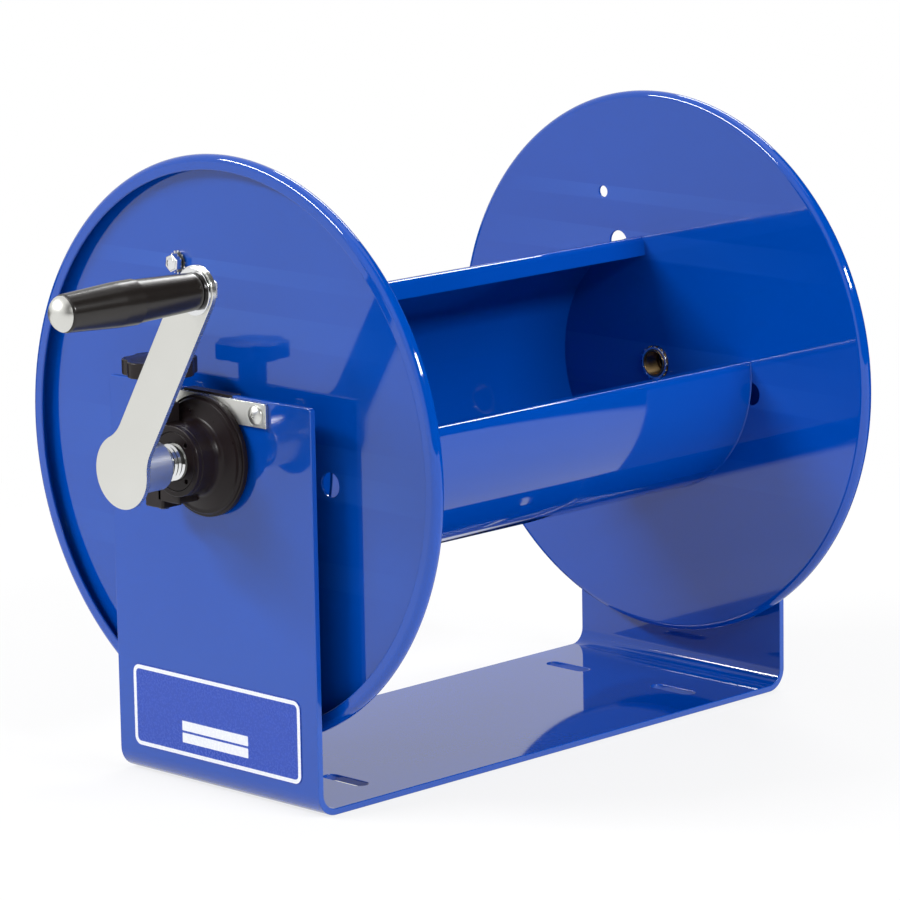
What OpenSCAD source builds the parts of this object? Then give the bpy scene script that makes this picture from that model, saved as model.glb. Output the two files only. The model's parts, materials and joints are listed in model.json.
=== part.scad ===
// Hand-crank storage reel for hose, with a drag brake and a swivel inlet.
// X runs along the axle, with the crank at -X and the inlet at +X. Z is up.
// The origin is the middle of the stand's underside. Lengths are in millimetres.

/* [Stand] */
// Length over the outer faces of the two legs
stand_l = 357.8; // [350:0.1:420]
// Width of the bent plate
stand_w = 151; // [130:0.5:180]
// Height of the legs
leg_h = 211; // [205:0.5:225]
// Thickness of the plate
plate_t = 3.5; // [2.5:0.1:5]
// Outside radius of the two bends
bend_r = 12; // [8:0.5:18]
// Radius of the legs' top corners
leg_corner_r = 2; // [1:0.5:10]
// Distance from the legs' top edge down to the axle
axle_drop = 32.6; // [30:0.1:40]
// Distance between the two rows of floor slots
slot_row_gap = 252; // [200:1:290]
// Distance between the two slots of a row
slot_pair_gap = 80; // [60:1:90]
// End-to-end length of a floor slot
slot_l = 30; // [16:1:36]
// Width of a floor slot
slot_w = 8.7; // [6:0.1:12]

/* [Reel] */
// Distance from the crank side's leg to the drum-side face of the disc beside it
crank_disc_in = 19; // [19:0.1:50]
// Distance from the inlet side's leg to the drum-side face of the disc beside it
inlet_disc_in = 21.4; // [19:0.1:50]
// Outer radius of a disc
disc_r = 151.8; // [120:0.1:156]
// Thickness of the disc sheet
disc_t = 1.5; // [1:0.1:2]
// Depth of a disc's rim, which is folded back on itself
rim_depth = 7.7; // [6.5:0.1:9]
// Length of the rim's lip past the fold
rim_lip = 4; // [2:0.1:8]
// Radius of the bolt hole from the axle
bolt_hole_at = 100.6; // [85:0.1:130]
// Diameter of the bolt hole
bolt_hole_d = 6.4; // [5:0.1:9]
// Angle of the bolt hole from the top, towards the drum slot's front edge
bolt_hole_angle = -22.5; // [-60:0.5:60]
// Radius of the ring of three tooling holes
tool_hole_at = 71; // [60:0.5:80]
// Diameter of a tooling hole
tool_hole_d = 12.7; // [6:0.1:16]
// Outer radius of the drum
drum_r = 70.8; // [50:0.1:90]
// Thickness of the drum sheet
drum_t = 1.5; // [1:0.1:3]
// Angle of the drum slot's upper edge from the top
slot_from = -6.6; // [-20:0.1:10]
// Angle of the drum slot's lower edge from the top
slot_to = 83; // [60:0.5:110]
// Length of the lip turned in along each edge of the slot
lip_l = 10.4; // [6:0.1:20]
// Outside radius of the bend at each lip
lip_r = 3; // [2.2:0.1:5]

/* [Bearings] */
// Diameter of the shaft and of the axle in their bearings
shaft_d = 19; // [14:0.1:24]
// Running clearance on the radius
run_gap = 0.05; // [0.01:0.01:0.1]
// Width of the notch in each leg
notch_w = 36.8; // [34:0.1:42]
// Diameter of the bearing flange outside the leg
flange_d = 63; // [50:0.5:66]
// Thickness of that flange
flange_t = 4.5; // [3:0.1:6]
// Diameter of the bearing's inner flange
inner_flange_d = 50; // [44:0.5:60]
// Thickness of the inner flange
inner_flange_t = 3; // [2:0.1:4]
// Diameter of the crank side's nose
nose_d = 36.6; // [30:0.1:40]
// Distance from the leg to the face of that nose
nose_l = 24.1; // [18:0.1:30]
// Width of the strap that shuts the notch
strap_w = 12.7; // [10:0.1:14]
// Thickness of the strap
strap_t = 2; // [1.5:0.1:3]
// Distance from each strap screw to the strap's end
strap_end = 7.3; // [5:0.1:15]
// Distance between the strap's two screws
strap_screw_gap = 75.4; // [70:0.1:80]
// Distance from the strap's top edge down from the leg's top edge
strap_drop = 1.1; // [0.5:0.1:2]
// Diameter of the strap screws
screw_d = 5; // [4:0.1:6]

/* [Crank] */
// Distance from the axle to the grip's spindle
crank_r = 114.3; // [90:0.1:125]
// Angle of the crank from straight up, towards -Y
crank_angle = 31; // [0:1:60]
// Width of the flat arm
arm_w = 25.4; // [20:0.1:30]
// Thickness of the flat arm
arm_t = 3; // [2:0.1:5]
// Diameter of the arm's round end at the shaft
arm_hub_d = 38; // [34:0.5:46]
// Radius of the blend between that end and the bar
arm_blend_r = 20; // [10:1:30]
// Diameter of the crank collar
collar_d = 25.4; // [23:0.1:32]
// Distance from the leg to the near end of the collar
collar_from = 37.1; // [34:0.1:42]
// Length of the collar
collar_l = 19.5; // [12:0.1:26]
// Length of the hand grip
grip_l = 81.4; // [70:0.1:110]
// Diameter of the hand grip at its two ends
grip_end_d = 18.8; // [18:0.1:24]
// Diameter of the hand grip at its swell
grip_mid_d = 22.6; // [20:0.1:30]
// Diameter of the grip's spindle
spindle_d = 8; // [6:0.1:10]
// Diameter of the spindle's domed head
dome_d = 17.6; // [16:0.1:18]
// Height of the spindle's domed head
dome_h = 5.4; // [4:0.1:7]

/* [Drag brake] */
// Side of the square clamp column
column_side = 13.8; // [13:0.1:15]
// Distance from the axle to the brake screw, towards +Y
brake_y = 19.4; // [18.5:0.1:21]
// Distance from the leg to the brake screw
brake_u = 14.4; // [13.8:0.1:16]
// Reach of the column above and below the axle
column_reach = 26.8; // [24:0.1:30]
// Width of the slit that the brake closes
slit_w = 2.4; // [1.5:0.1:4]
// Diameter of the brake screw
brake_screw_d = 6.2; // [5:0.1:6.4]
// Diameter of the brake knob over its lobes
knob_d = 39.5; // [32:0.5:44]
// Number of lobes on the brake knob
knob_lobes = 7; // [5:1:9]
// Height of the knob's head
knob_h = 10.3; // [8:0.1:16]
// Diameter of the knob's stem
stem_d = 15; // [12:0.1:18]
// Length of the knob's stem
stem_l = 11.2; // [6:0.1:20]

/* [Inlet] */
// Radius of the female threads at the outlet and the inlet
port_r = 7.3; // [6.5:0.1:7.6]
// Depth of those threads
port_depth = 15; // [10:0.5:18]
// How far the outlet stands off the inlet side's disc inside the drum
outlet_reach = 6.3; // [4:0.1:14]
// Diameter of the axle in the swivel
swivel_axle_d = 16; // [14:0.1:17]
// Outer diameter of the swivel body
swivel_d = 27; // [24:0.5:32]
// Distance from the leg to the swivel body
swivel_from = 9.6; // [9:0.1:14]
// Length of the swivel body
swivel_l = 31; // [28:0.5:40]
// Diameter of the swivel's side port
branch_d = 24; // [20:0.5:26]
// Distance from the axle to the side port's face
branch_l = 34; // [32:0.5:50]

/* [Label] */
// Width of the blank label plate
label_w = 127; // [100:0.5:128]
// Height of the label plate
label_h = 44; // [30:0.5:60]
// Height of the label's lower edge above the floor
label_z = 15.5; // [15:0.5:60]

/* [Hidden] */
$fn = 96;
over = 1;
seat = 0.1;

leg_out = stand_l / 2;
axle_z = leg_h - axle_drop;
strap_l = strap_screw_gap + 2 * strap_end;
notch_r = notch_w / 2;
shaft_r = shaft_d / 2;
bearing_r = shaft_r + run_gap;
leg_top = axle_drop;
strap_top = leg_top - strap_drop;
strap_mid = strap_top - strap_w / 2;
flange_from = strap_t + seat;
flange_to = flange_from + flange_t;
inner_flange_to = plate_t + inner_flange_t;
crank_face = crank_disc_in - leg_out;
inlet_face = leg_out - inlet_disc_in;
clamp_gap = 0.3;
bend_proud = 0.15;
bend_at = drum_r - lip_r + bend_proud;
bend_angle = asin(lip_r / bend_at);
bend_past = 22;

// Crank side: plate welded to the disc, spacer, and the nut inside the drum
hub_plate_d = 56;
hub_plate_t = 3;
spacer_d = 26;
lock_washer_t = 2;
lock_washer_d = 31;
lock_nut_af = 28.6;
lock_nut_h = 10;
shaft_tail = 2.5;
thread_pitch = 2.54;
thread_depth = 1.3;

// Crank arm, washers and grip, outward from the leg
collar_to = collar_from + collar_l;
arm_to = collar_to + arm_t;
wide_washer_t = 1.5;
wide_washer_d = 24;
thin_washer_t = 1.8;
thin_washer_d = 18;
grip_from = arm_to + wide_washer_t + thin_washer_t + clamp_gap;
grip_to = grip_from + grip_l;
grip_seam = 0.45;
grip_band = 9;
grip_round = 1.6;
spindle_nut_af = 12.7;
spindle_nut_h = 6.5;

// Drag brake
brake_nut_af = 11.1;
brake_nut_h = 5.5;
brake_hole_r = brake_screw_d / 2 + 0.4;
brake_washer_t = 1.4;
brake_washer_d = 15;
washer_top = column_reach + brake_washer_t;
stem_top = washer_top + stem_l;
knob_dome = 2;
dome_rim = 5;
dome_top = 11;
lobe_r = 5;
web_drop = 4;
pin_hole_r = 1.3;
pin_hole_at = 14.6;
pin_hole_angle = 47;

// Screws, nuts and the bolt in the crank side's disc
screw_head_r = 5;
screw_head_h = 2.6;
screw_nut_af = 8;
screw_nut_h = 4;
bolt_af = 9.4;
bolt_head_h = 4.6;
bolt_washer_t = 1.3;
bolt_washer_d = 12.6;
bolt_nut_h = 4.8;
bolt_tail = 1.5;
washer_teeth = 14;

// Swivel inlet, outward from the inlet side's leg
swivel_axle_r = swivel_axle_d / 2;
swivel_to = swivel_from + swivel_l;
swivel_mid = swivel_from + swivel_l / 2;
chamber_w = 8;
chamber_r = swivel_axle_r + 2;
bore_r = 4.8;
seal_r = 0.75;
ring_t = 1.2;
ring_gap = 0.3;
axle_flange_d = 32;
axle_flange_t = 3;
lock_ring_d = 22.6;
lock_ring_t = 1.5;
lock_ring_teeth = 16;
label_t = 0.4;
label_corner = 5;

blue = [0.05, 0.22, 0.62];
black = [0.13, 0.12, 0.13];
zinc = [0.8, 0.8, 0.77];
chrome = [0.85, 0.86, 0.88];
brass = [0.78, 0.6, 0.3];

// ---------- placing and shared shapes ----------

// Both sides are drawn the same way: +X points outward from the leg's outer face on the axle line.
module at_crank_side() translate([-leg_out, 0, axle_z]) mirror([1, 0, 0]) children();

module at_inlet_side() translate([leg_out, 0, axle_z]) children();

// Turns a shape drawn up Z so that it points outward along X.
module outward(from = 0) translate([from, 0, 0]) rotate([0, 90, 0]) children();

// Extrudes an outline drawn in Y and Z from one X to another.
module along_x(from, to) translate([from, 0, 0]) rotate([90, 0, 90]) linear_extrude(to - from) children();

module rod(from, to, r) outward(from) cylinder(h = to - from, r = r);

module sleeve(from, to, r, hole_r) outward(from) difference() {
    cylinder(h = to - from, r = r);
    translate([0, 0, -over]) cylinder(h = to - from + 2 * over, r = hole_r);
}

// Hexagon by its width across flats, with a flat side facing up Y.
module hexagon(af) circle(r = af / sqrt(3), $fn = 6);

// Rectangle with all four corners round, centred on the origin.
module round_rect(w, h, r) {
    square([w - 2 * r, h], center = true);
    square([w, h - 2 * r], center = true);
    for (x = [-1, 1], y = [-1, 1])
        translate([x * (w / 2 - r), y * (h / 2 - r)]) circle(r);
}

// Half outline of a rod with V grooves, from z = 0 up to l, for a rotate_extrude.
module thread_outline(r, l, pitch, depth) {
    turns = floor(l / pitch);
    polygon([
        [0, 0],
        for (i = [0 : turns - 1]) each [[r - depth, i * pitch], [r, (i + 0.35) * pitch],
            [r, (i + 0.65) * pitch]],
        [r - depth, turns * pitch],
        [r - depth, l],
        [0, l],
    ]);
}

// Ring with square teeth round its outside.
module toothed_ring(r, hole_r, teeth, tooth) difference() {
    circle(r);
    circle(hole_r);
    for (i = [0 : teeth - 1]) rotate(i * 360 / teeth)
        translate([r - tooth, -tooth / 2]) square([2 * tooth, tooth]);
}

// ---------- stand ----------

// Outline of a tub seen from the side: two round lower corners and straight sides.
module tub_outline(l, h, r) {
    translate([-l / 2, r]) square([l, h - r]);
    translate([-l / 2 + r, 0]) square([l - 2 * r, 2 * r]);
    for (s = [-1, 1]) translate([s * (l / 2 - r), r]) circle(r);
}

module floor_slot() {
    for (s = [-1, 1]) translate([0, s * (slot_l - slot_w) / 2, -over])
        cylinder(h = plate_t + 2 * over, d = slot_w);
    translate([-slot_w / 2, -(slot_l - slot_w) / 2, -over])
        cube([slot_w, slot_l - slot_w, plate_t + 2 * over]);
}

module stand() color(blue) difference() {
    intersection() {
        rotate([90, 0, 0]) linear_extrude(stand_w, center = true) difference() {
            tub_outline(stand_l, leg_h, bend_r);
            translate([0, plate_t]) tub_outline(stand_l - 2 * plate_t, leg_h, bend_r - plate_t);
        }
        along_x(-leg_out - over, leg_out + over)
            translate([0, leg_h / 2]) round_rect(stand_w, leg_h, leg_corner_r);
    }
    translate([0, 0, axle_z]) {
        rod(-leg_out - over, leg_out + over, notch_r);
        translate([-leg_out - over, -notch_r, 0])
            cube([stand_l + 2 * over, notch_w, leg_top + over]);
        for (y = [-1, 1]) translate([0, y * strap_screw_gap / 2, strap_mid])
            rod(-leg_out - over, leg_out + over, screw_d / 2 + 0.25);
    }
    for (x = [-1, 1], y = [-1, 1])
        translate([x * slot_row_gap / 2, y * slot_pair_gap / 2, 0]) floor_slot();
}

module label_plate() color("royalblue") translate([-leg_out, 0, label_z + label_h / 2])
    mirror([1, 0, 0]) along_x(0, label_t) round_rect(label_w, label_h, label_corner);

// ---------- bearings and straps ----------

// The block fills the notch, and its flanges hold it on both faces of the leg.
module bearing_block() {
    neck_r = notch_r - seat;
    rod(-inner_flange_to, -plate_t - seat / 2, inner_flange_d / 2);
    rod(-inner_flange_to, flange_to, neck_r);
    translate([-inner_flange_to, -neck_r, 0]) cube([inner_flange_to, 2 * neck_r, leg_top]);
    rod(flange_from, flange_to - 1.9, flange_d / 2);
    rod(flange_from, flange_to - 1.5, flange_d / 2 - 1.4);
    outward(flange_to - 1.6) cylinder(h = 1.6, r1 = flange_d / 2 - 0.3, r2 = flange_d / 2 - 1.2);
}

module bearing_bore(to) rod(-inner_flange_to - over, to + over, bearing_r);

// The nose stands out of the flange, and the clamp column grows out of its +Y side.
module crank_side_bearing() color(black) at_crank_side() difference() {
    union() {
        bearing_block();
        outward(flange_to - 0.1) cylinder(h = 3, r1 = flange_d / 2 - 3, r2 = nose_d / 2 + 2.4);
        outward(flange_to) cylinder(h = nose_l - flange_to - 3.4, r1 = nose_d / 2 + 2.2, r2 = nose_d / 2);
        rod(flange_to, nose_l - 2.8, nose_d / 2 - 0.5);
        rod(nose_l - 2.9, nose_l - 0.8, nose_d / 2);
        outward(nose_l - 0.8) cylinder(h = 0.8, r1 = nose_d / 2, r2 = nose_d / 2 - 0.8);
        translate([brake_u - column_side / 2, brake_y - column_side / 2, -column_reach])
            cube([column_side, column_side, 2 * column_reach]);
        translate([brake_u - column_side / 2, 0, -column_reach + web_drop])
            cube([column_side, brake_y, 2 * (column_reach - web_drop)]);
    }
    bearing_bore(nose_l);
    translate([flange_to + 0.5, 0, -slit_w / 2]) cube([nose_l, brake_y + column_side, slit_w]);
    translate([brake_u, brake_y, -column_reach - over]) {
        cylinder(h = 2 * column_reach + 2 * over, r = brake_hole_r);
        linear_extrude(brake_nut_h + over + seat) hexagon(brake_nut_af + 2 * seat);
    }
    for (s = [-1, 1]) rotate([90 + s * pin_hole_angle, 0, 0]) translate([0, 0, pin_hole_at])
        rod(nose_l - 2, nose_l + over, pin_hole_r);
}

module inlet_side_bearing() color(black) at_inlet_side() difference() {
    bearing_block();
    bearing_bore(flange_to);
}

module strap() difference() {
    translate([0, 0, strap_mid]) along_x(0, strap_t) round_rect(strap_l, strap_w, 1);
    for (y = [-1, 1]) translate([0, y * strap_screw_gap / 2, strap_mid])
        rod(-over, strap_t + over, screw_d / 2 + 0.15);
}

// Button head with a cross recess, and a shank through strap and leg.
module strap_screw() {
    ball_r = (screw_head_r ^ 2 + screw_head_h ^ 2) / (2 * screw_head_h);
    difference() {
        outward(strap_t) rotate_extrude() intersection() {
            translate([0, screw_head_h - ball_r]) circle(ball_r);
            square([screw_head_r, screw_head_h]);
        }
        for (a = [0, 90]) rotate([a, 0, 0]) translate([strap_t + screw_head_h - 1.3, -1.9, -0.45])
            cube([2, 3.8, 0.9]);
    }
    rod(-plate_t - screw_nut_h - 1, strap_t + 0.1, screw_d / 2);
}

module strap_nut() along_x(-plate_t - screw_nut_h, -plate_t) difference() {
    hexagon(screw_nut_af);
    circle(screw_d / 2 + 0.05);
}

module strap_screws() for (y = [-1, 1])
    translate([0, y * strap_screw_gap / 2, strap_mid]) strap_screw();

module strap_nuts() for (y = [-1, 1])
    translate([0, y * strap_screw_gap / 2, strap_mid]) strap_nut();

module crank_side_strap() color(zinc) at_crank_side() strap();

module inlet_side_strap() color(zinc) at_inlet_side() strap();

module crank_side_strap_screws() color(chrome) at_crank_side() strap_screws();

module inlet_side_strap_screws() color(chrome) at_inlet_side() strap_screws();

module crank_side_strap_nuts() color(zinc) at_crank_side() strap_nuts();

module inlet_side_strap_nuts() color(zinc) at_inlet_side() strap_nuts();

// ---------- drag brake ----------

module at_brake_screw() at_crank_side() translate([brake_u, brake_y, 0]) children();

module brake_nut() color(zinc) at_brake_screw() translate([0, 0, -column_reach])
    linear_extrude(brake_nut_h) difference() {
        hexagon(brake_nut_af);
        circle(brake_screw_d / 2 + run_gap);
    }

module brake_washer() color(zinc) at_brake_screw() translate([0, 0, column_reach]) difference() {
    cylinder(h = brake_washer_t, d = brake_washer_d);
    translate([0, 0, -over]) cylinder(h = brake_washer_t + 2 * over, r = brake_screw_d / 2 + run_gap);
}

module lobed_outline() {
    circle(knob_d / 2 - 2.2);
    for (i = [0 : knob_lobes - 1]) rotate((i + 0.5) * 360 / knob_lobes)
        translate([knob_d / 2 - lobe_r, 0]) circle(lobe_r);
}

module brake_knob() color(black) at_brake_screw() difference() {
    union() {
        translate([0, 0, washer_top]) cylinder(h = stem_l + 0.1, d = stem_d);
        translate([0, 0, stem_top]) linear_extrude(knob_h) lobed_outline();
        translate([0, 0, stem_top + knob_h - 0.1])
            cylinder(h = knob_dome, r1 = knob_d / 2 - dome_rim, r2 = knob_d / 2 - dome_top);
    }
    translate([0, 0, washer_top - over])
        cylinder(h = stem_l + knob_h - 1, r = brake_screw_d / 2 + run_gap);
}

module brake_screw() color(zinc) at_brake_screw() translate([0, 0, -column_reach - 1.5])
    cylinder(h = 1.5 + column_reach + stem_top + knob_h - 3, d = brake_screw_d);

// ---------- discs and drum ----------

// Half outline of a disc: flat sheet, folded back on itself at the rim. Height runs away from the drum.
module disc_outline(hole_r) {
    fold_r = rim_depth / 2;
    flat_r = disc_r - fold_r;
    translate([hole_r, 0]) square([flat_r - hole_r, disc_t]);
    intersection() {
        translate([flat_r, fold_r]) difference() {
            circle(fold_r);
            circle(fold_r - disc_t);
        }
        translate([flat_r, 0]) square([fold_r + over, rim_depth]);
    }
    translate([flat_r - rim_lip, rim_depth - disc_t]) square([rim_lip, disc_t]);
}

module reel_disc(face_u) difference() {
    translate([-face_u, 0, 0]) outward() rotate_extrude($fn = 180) disc_outline(shaft_r + 0.2);
    rotate([bolt_hole_angle, 0, 0]) translate([0, 0, bolt_hole_at])
        rod(-face_u - over, -face_u + disc_t + over, bolt_hole_d / 2);
    for (i = [0 : 2]) rotate([bolt_hole_angle + i * 120, 0, 0]) translate([0, 0, tool_hole_at])
        rod(-face_u - over, -face_u + disc_t + over, tool_hole_d / 2);
}

module crank_side_disc() color(blue) at_crank_side() reel_disc(crank_disc_in);

module inlet_side_disc() color(blue) at_inlet_side() reel_disc(inlet_disc_in);

// Lip and bend of a slot edge that stands straight up Y, with the drum's sheet on its +X side. The
// bend stands a hair proud of the drum and runs past the sheet's end, so that the two cross clearly.
module slot_edge() {
    centre = [lip_r, sqrt(bend_at ^ 2 - lip_r ^ 2)];
    last = bend_angle + bend_past;
    translate([0, drum_r - lip_l]) square([drum_t, centre[1] - (drum_r - lip_l)]);
    intersection() {
        translate(centre) difference() {
            circle(lip_r);
            circle(lip_r - drum_t);
        }
        polygon([centre, centre - [2 * lip_r, 0], centre + [-2 * lip_r, 2 * lip_r],
            centre + 3 * lip_r * [sin(last), cos(last)]]);
    }
}

function toward(angle, r) = [-r * sin(angle), r * cos(angle)];

module drum_shell() color(blue) translate([0, 0, axle_z]) along_x(crank_face, inlet_face) {
    middle = (slot_from + slot_to) / 2;
    difference() {
        circle(drum_r, $fn = 180);
        circle(drum_r - drum_t, $fn = 180);
        polygon([[0, 0], toward(slot_from - bend_angle, 2 * drum_r), toward(middle, 3 * drum_r),
            toward(slot_to + bend_angle, 2 * drum_r)]);
    }
    rotate(slot_from) slot_edge();
    rotate(slot_to) mirror([1, 0]) slot_edge();
}

// ---------- crank shaft and its hub ----------

module hub_plate() color(blue) at_crank_side()
    sleeve(-crank_disc_in + disc_t, -crank_disc_in + disc_t + hub_plate_t, hub_plate_d / 2, shaft_r);

module crank_side_spacer() color(zinc) at_crank_side()
    sleeve(-crank_disc_in + disc_t + hub_plate_t, -inner_flange_to - clamp_gap, spacer_d / 2, shaft_r);

// Plain in the bearing, threaded in front of it up to the collar.
module crank_shaft() color(chrome) at_crank_side() {
    inner_end = -crank_disc_in - lock_washer_t - lock_nut_h - shaft_tail;
    rod(inner_end, nose_l, shaft_r);
    outward(nose_l) rotate_extrude()
        thread_outline(shaft_r, collar_from - nose_l, thread_pitch, thread_depth);
    rod(collar_from, collar_to, shaft_r - thread_depth);
}

module shaft_lock_washer() color(zinc) at_crank_side()
    sleeve(-crank_disc_in - lock_washer_t, -crank_disc_in, lock_washer_d / 2, shaft_r);

module shaft_lock_nut() color(zinc) at_crank_side()
    along_x(-crank_disc_in - lock_washer_t - lock_nut_h, -crank_disc_in - lock_washer_t) difference() {
        hexagon(lock_nut_af);
        circle(shaft_r);
    }

// ---------- crank ----------

module at_spindle() at_crank_side() rotate([crank_angle, 0, 0]) translate([0, 0, crank_r]) children();

module crank_collar() color(chrome) at_crank_side()
    sleeve(collar_from, collar_to, collar_d / 2, shaft_r - thread_depth);

// One side of the blend between the round end and the straight bar.
module arm_blend() {
    reach = sqrt((arm_hub_d / 2 + arm_blend_r) ^ 2 - (arm_w / 2 + arm_blend_r) ^ 2);
    centre = [arm_w / 2 + arm_blend_r, reach];
    difference() {
        polygon([[0, 0], centre, [0, reach]]);
        translate(centre) circle(arm_blend_r);
    }
}

module crank_arm() color(zinc) at_crank_side() rotate([crank_angle, 0, 0]) along_x(collar_to, arm_to)
    difference() {
        union() {
            circle(d = arm_hub_d);
            translate([-arm_w / 2, 0]) square([arm_w, crank_r]);
            translate([0, crank_r]) circle(d = arm_w);
            arm_blend();
            mirror([1, 0]) arm_blend();
        }
        translate([0, crank_r]) circle(spindle_d / 2 + seat);
    }

// Long screw from the nut behind the arm to the dome at the grip's outer end.
module grip_spindle() color(chrome) at_spindle() {
    ball_r = ((dome_d / 2) ^ 2 + dome_h ^ 2) / (2 * dome_h);
    rod(collar_to - spindle_nut_h - 2, grip_to + clamp_gap, spindle_d / 2);
    outward(grip_to + clamp_gap) rotate_extrude() intersection() {
        translate([0, dome_h - ball_r]) circle(ball_r);
        square([dome_d / 2, dome_h]);
    }
}

module grip_wide_washer() color(chrome) at_spindle()
    sleeve(arm_to, arm_to + wide_washer_t, wide_washer_d / 2, spindle_d / 2 + seat);

module grip_thin_washer() color(chrome) at_spindle()
    sleeve(arm_to + wide_washer_t, grip_from - clamp_gap, thin_washer_d / 2, spindle_d / 2 + seat);

module spindle_nut() color(zinc) at_spindle() along_x(collar_to - spindle_nut_h, collar_to)
    difference() {
        hexagon(spindle_nut_af);
        circle(spindle_d / 2);
    }

// Two tapers that meet at a step, with round ends.
module hand_grip() color(black) at_spindle() outward(grip_from) rotate_extrude() {
    hole_r = spindle_d / 2 + run_gap;
    end_r = grip_end_d / 2;
    mid_r = grip_mid_d / 2;
    seam = grip_l * grip_seam;
    polygon([
        [hole_r, 0], [end_r - grip_round, 0], [end_r - grip_round * 0.3, grip_round * 0.3],
        [end_r, grip_round], [mid_r - 0.6, seam], [mid_r, seam + 0.4], [mid_r, seam + grip_band],
        [end_r, grip_l - grip_round], [end_r - grip_round * 0.3, grip_l - grip_round * 0.3],
        [end_r - grip_round, grip_l], [hole_r, grip_l],
    ]);
}

// ---------- bolt in the crank side's disc ----------

module at_disc_bolt() at_crank_side() rotate([bolt_hole_angle, 0, 0])
    translate([-crank_disc_in + disc_t, 0, bolt_hole_at]) children();

module disc_bolt() color(chrome) at_disc_bolt() {
    along_x(bolt_washer_t, bolt_washer_t + bolt_head_h) hexagon(bolt_af);
    rod(-disc_t - bolt_nut_h - bolt_tail, bolt_washer_t + 0.1, bolt_hole_d / 2 - 0.2);
}

module disc_star_washer() color(chrome) at_disc_bolt() along_x(0, bolt_washer_t)
    toothed_ring(bolt_washer_d / 2, bolt_hole_d / 2, washer_teeth, 1.3);

module disc_bolt_nut() color(zinc) at_disc_bolt() along_x(-disc_t - bolt_nut_h, -disc_t) difference() {
    hexagon(bolt_af);
    circle(bolt_hole_d / 2 - 0.15);
}

// ---------- outlet axle and swivel inlet ----------

// Hollow axle: outlet thread inside the drum, journal in the bearing, cross holes in the swivel.
module outlet_axle() color(brass) at_inlet_side() difference() {
    inner_end = -inlet_disc_in - outlet_reach;
    axle_end = swivel_to + ring_gap + ring_t + 1.5;
    union() {
        rod(inner_end, flange_to + 1, shaft_r);
        rod(-inlet_disc_in + disc_t, -inlet_disc_in + disc_t + axle_flange_t, axle_flange_d / 2);
        rod(flange_to, axle_end, swivel_axle_r);
    }
    rod(inner_end - over, inner_end + port_depth, port_r);
    rod(inner_end, swivel_mid + chamber_w / 2, bore_r);
    translate([swivel_mid, 0, -swivel_axle_r - over])
        cylinder(h = 2 * swivel_axle_r + 2 * over, r = chamber_w / 2 - 0.8);
    for (u = [swivel_from + 5, swivel_to - 5])
        sleeve(u - seal_r - 0.15, u + seal_r + 0.15, swivel_axle_r + over, swivel_axle_r - 2 * seal_r);
    sleeve(swivel_to + ring_gap, swivel_to + ring_gap + ring_t, swivel_axle_r + over, swivel_axle_r - 1);
}

module outlet_lock_ring() color(zinc) at_inlet_side()
    along_x(-inlet_disc_in - lock_ring_t, -inlet_disc_in)
        toothed_ring(lock_ring_d / 2, shaft_r, lock_ring_teeth, 1.2);

module inlet_side_spacer() color(zinc) at_inlet_side()
    sleeve(-inlet_disc_in + disc_t + axle_flange_t, -inner_flange_to - clamp_gap, spacer_d / 2, shaft_r);

// Body with a fluid chamber round the cross holes and a side port that hangs down.
module swivel_body() color(brass) at_inlet_side() difference() {
    union() {
        rod(swivel_from, swivel_to, swivel_d / 2);
        translate([swivel_mid, 0, -branch_l]) cylinder(h = branch_l, d = branch_d);
    }
    rod(swivel_from - over, swivel_to + over, swivel_axle_r + run_gap);
    rod(swivel_mid - chamber_w / 2, swivel_mid + chamber_w / 2, chamber_r);
    translate([swivel_mid, 0, -branch_l - over]) {
        cylinder(h = port_depth + over, r = port_r);
        cylinder(h = branch_l + over, r = chamber_w / 2 - 0.8);
    }
}

module swivel_seals() color(black) at_inlet_side() for (u = [swivel_from + 5, swivel_to - 5])
    outward(u) rotate_extrude() translate([swivel_axle_r - seal_r, 0]) circle(seal_r, $fn = 24);

module swivel_retaining_ring() color(zinc) at_inlet_side()
    sleeve(swivel_to + ring_gap, swivel_to + ring_gap + ring_t, swivel_axle_r + 2, swivel_axle_r - 1);

// ---------- nodes ----------

stand();
label_plate();
crank_side_bearing();
crank_side_strap();
crank_side_strap_screws();
crank_side_strap_nuts();
inlet_side_bearing();
inlet_side_strap();
inlet_side_strap_screws();
inlet_side_strap_nuts();
brake_nut();
brake_washer();
brake_knob();
brake_screw();
crank_side_disc();
inlet_side_disc();
drum_shell();
hub_plate();
crank_shaft();
shaft_lock_washer();
shaft_lock_nut();
crank_side_spacer();
outlet_axle();
outlet_lock_ring();
inlet_side_spacer();
disc_bolt();
disc_star_washer();
disc_bolt_nut();
crank_collar();
crank_arm();
grip_spindle();
grip_wide_washer();
grip_thin_washer();
spindle_nut();
hand_grip();
swivel_body();
swivel_seals();
swivel_retaining_ring();
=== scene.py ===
# %% [markdown]
# # A hand-crank hose reel
# A workshop reel stores hose on a drum between two rolled-rim discs. One bent plate carries it, and a
# flat crank turns it. The imported model gives every size and place; this lesson gives the pieces their fine
# shapes and finishes. We load the model first.

# %% Load the model
import json
import math

import bmesh
import bpy
import numpy as np
from mathutils import Matrix, Vector
from mathutils.geometry import tessellate_polygon


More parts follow.
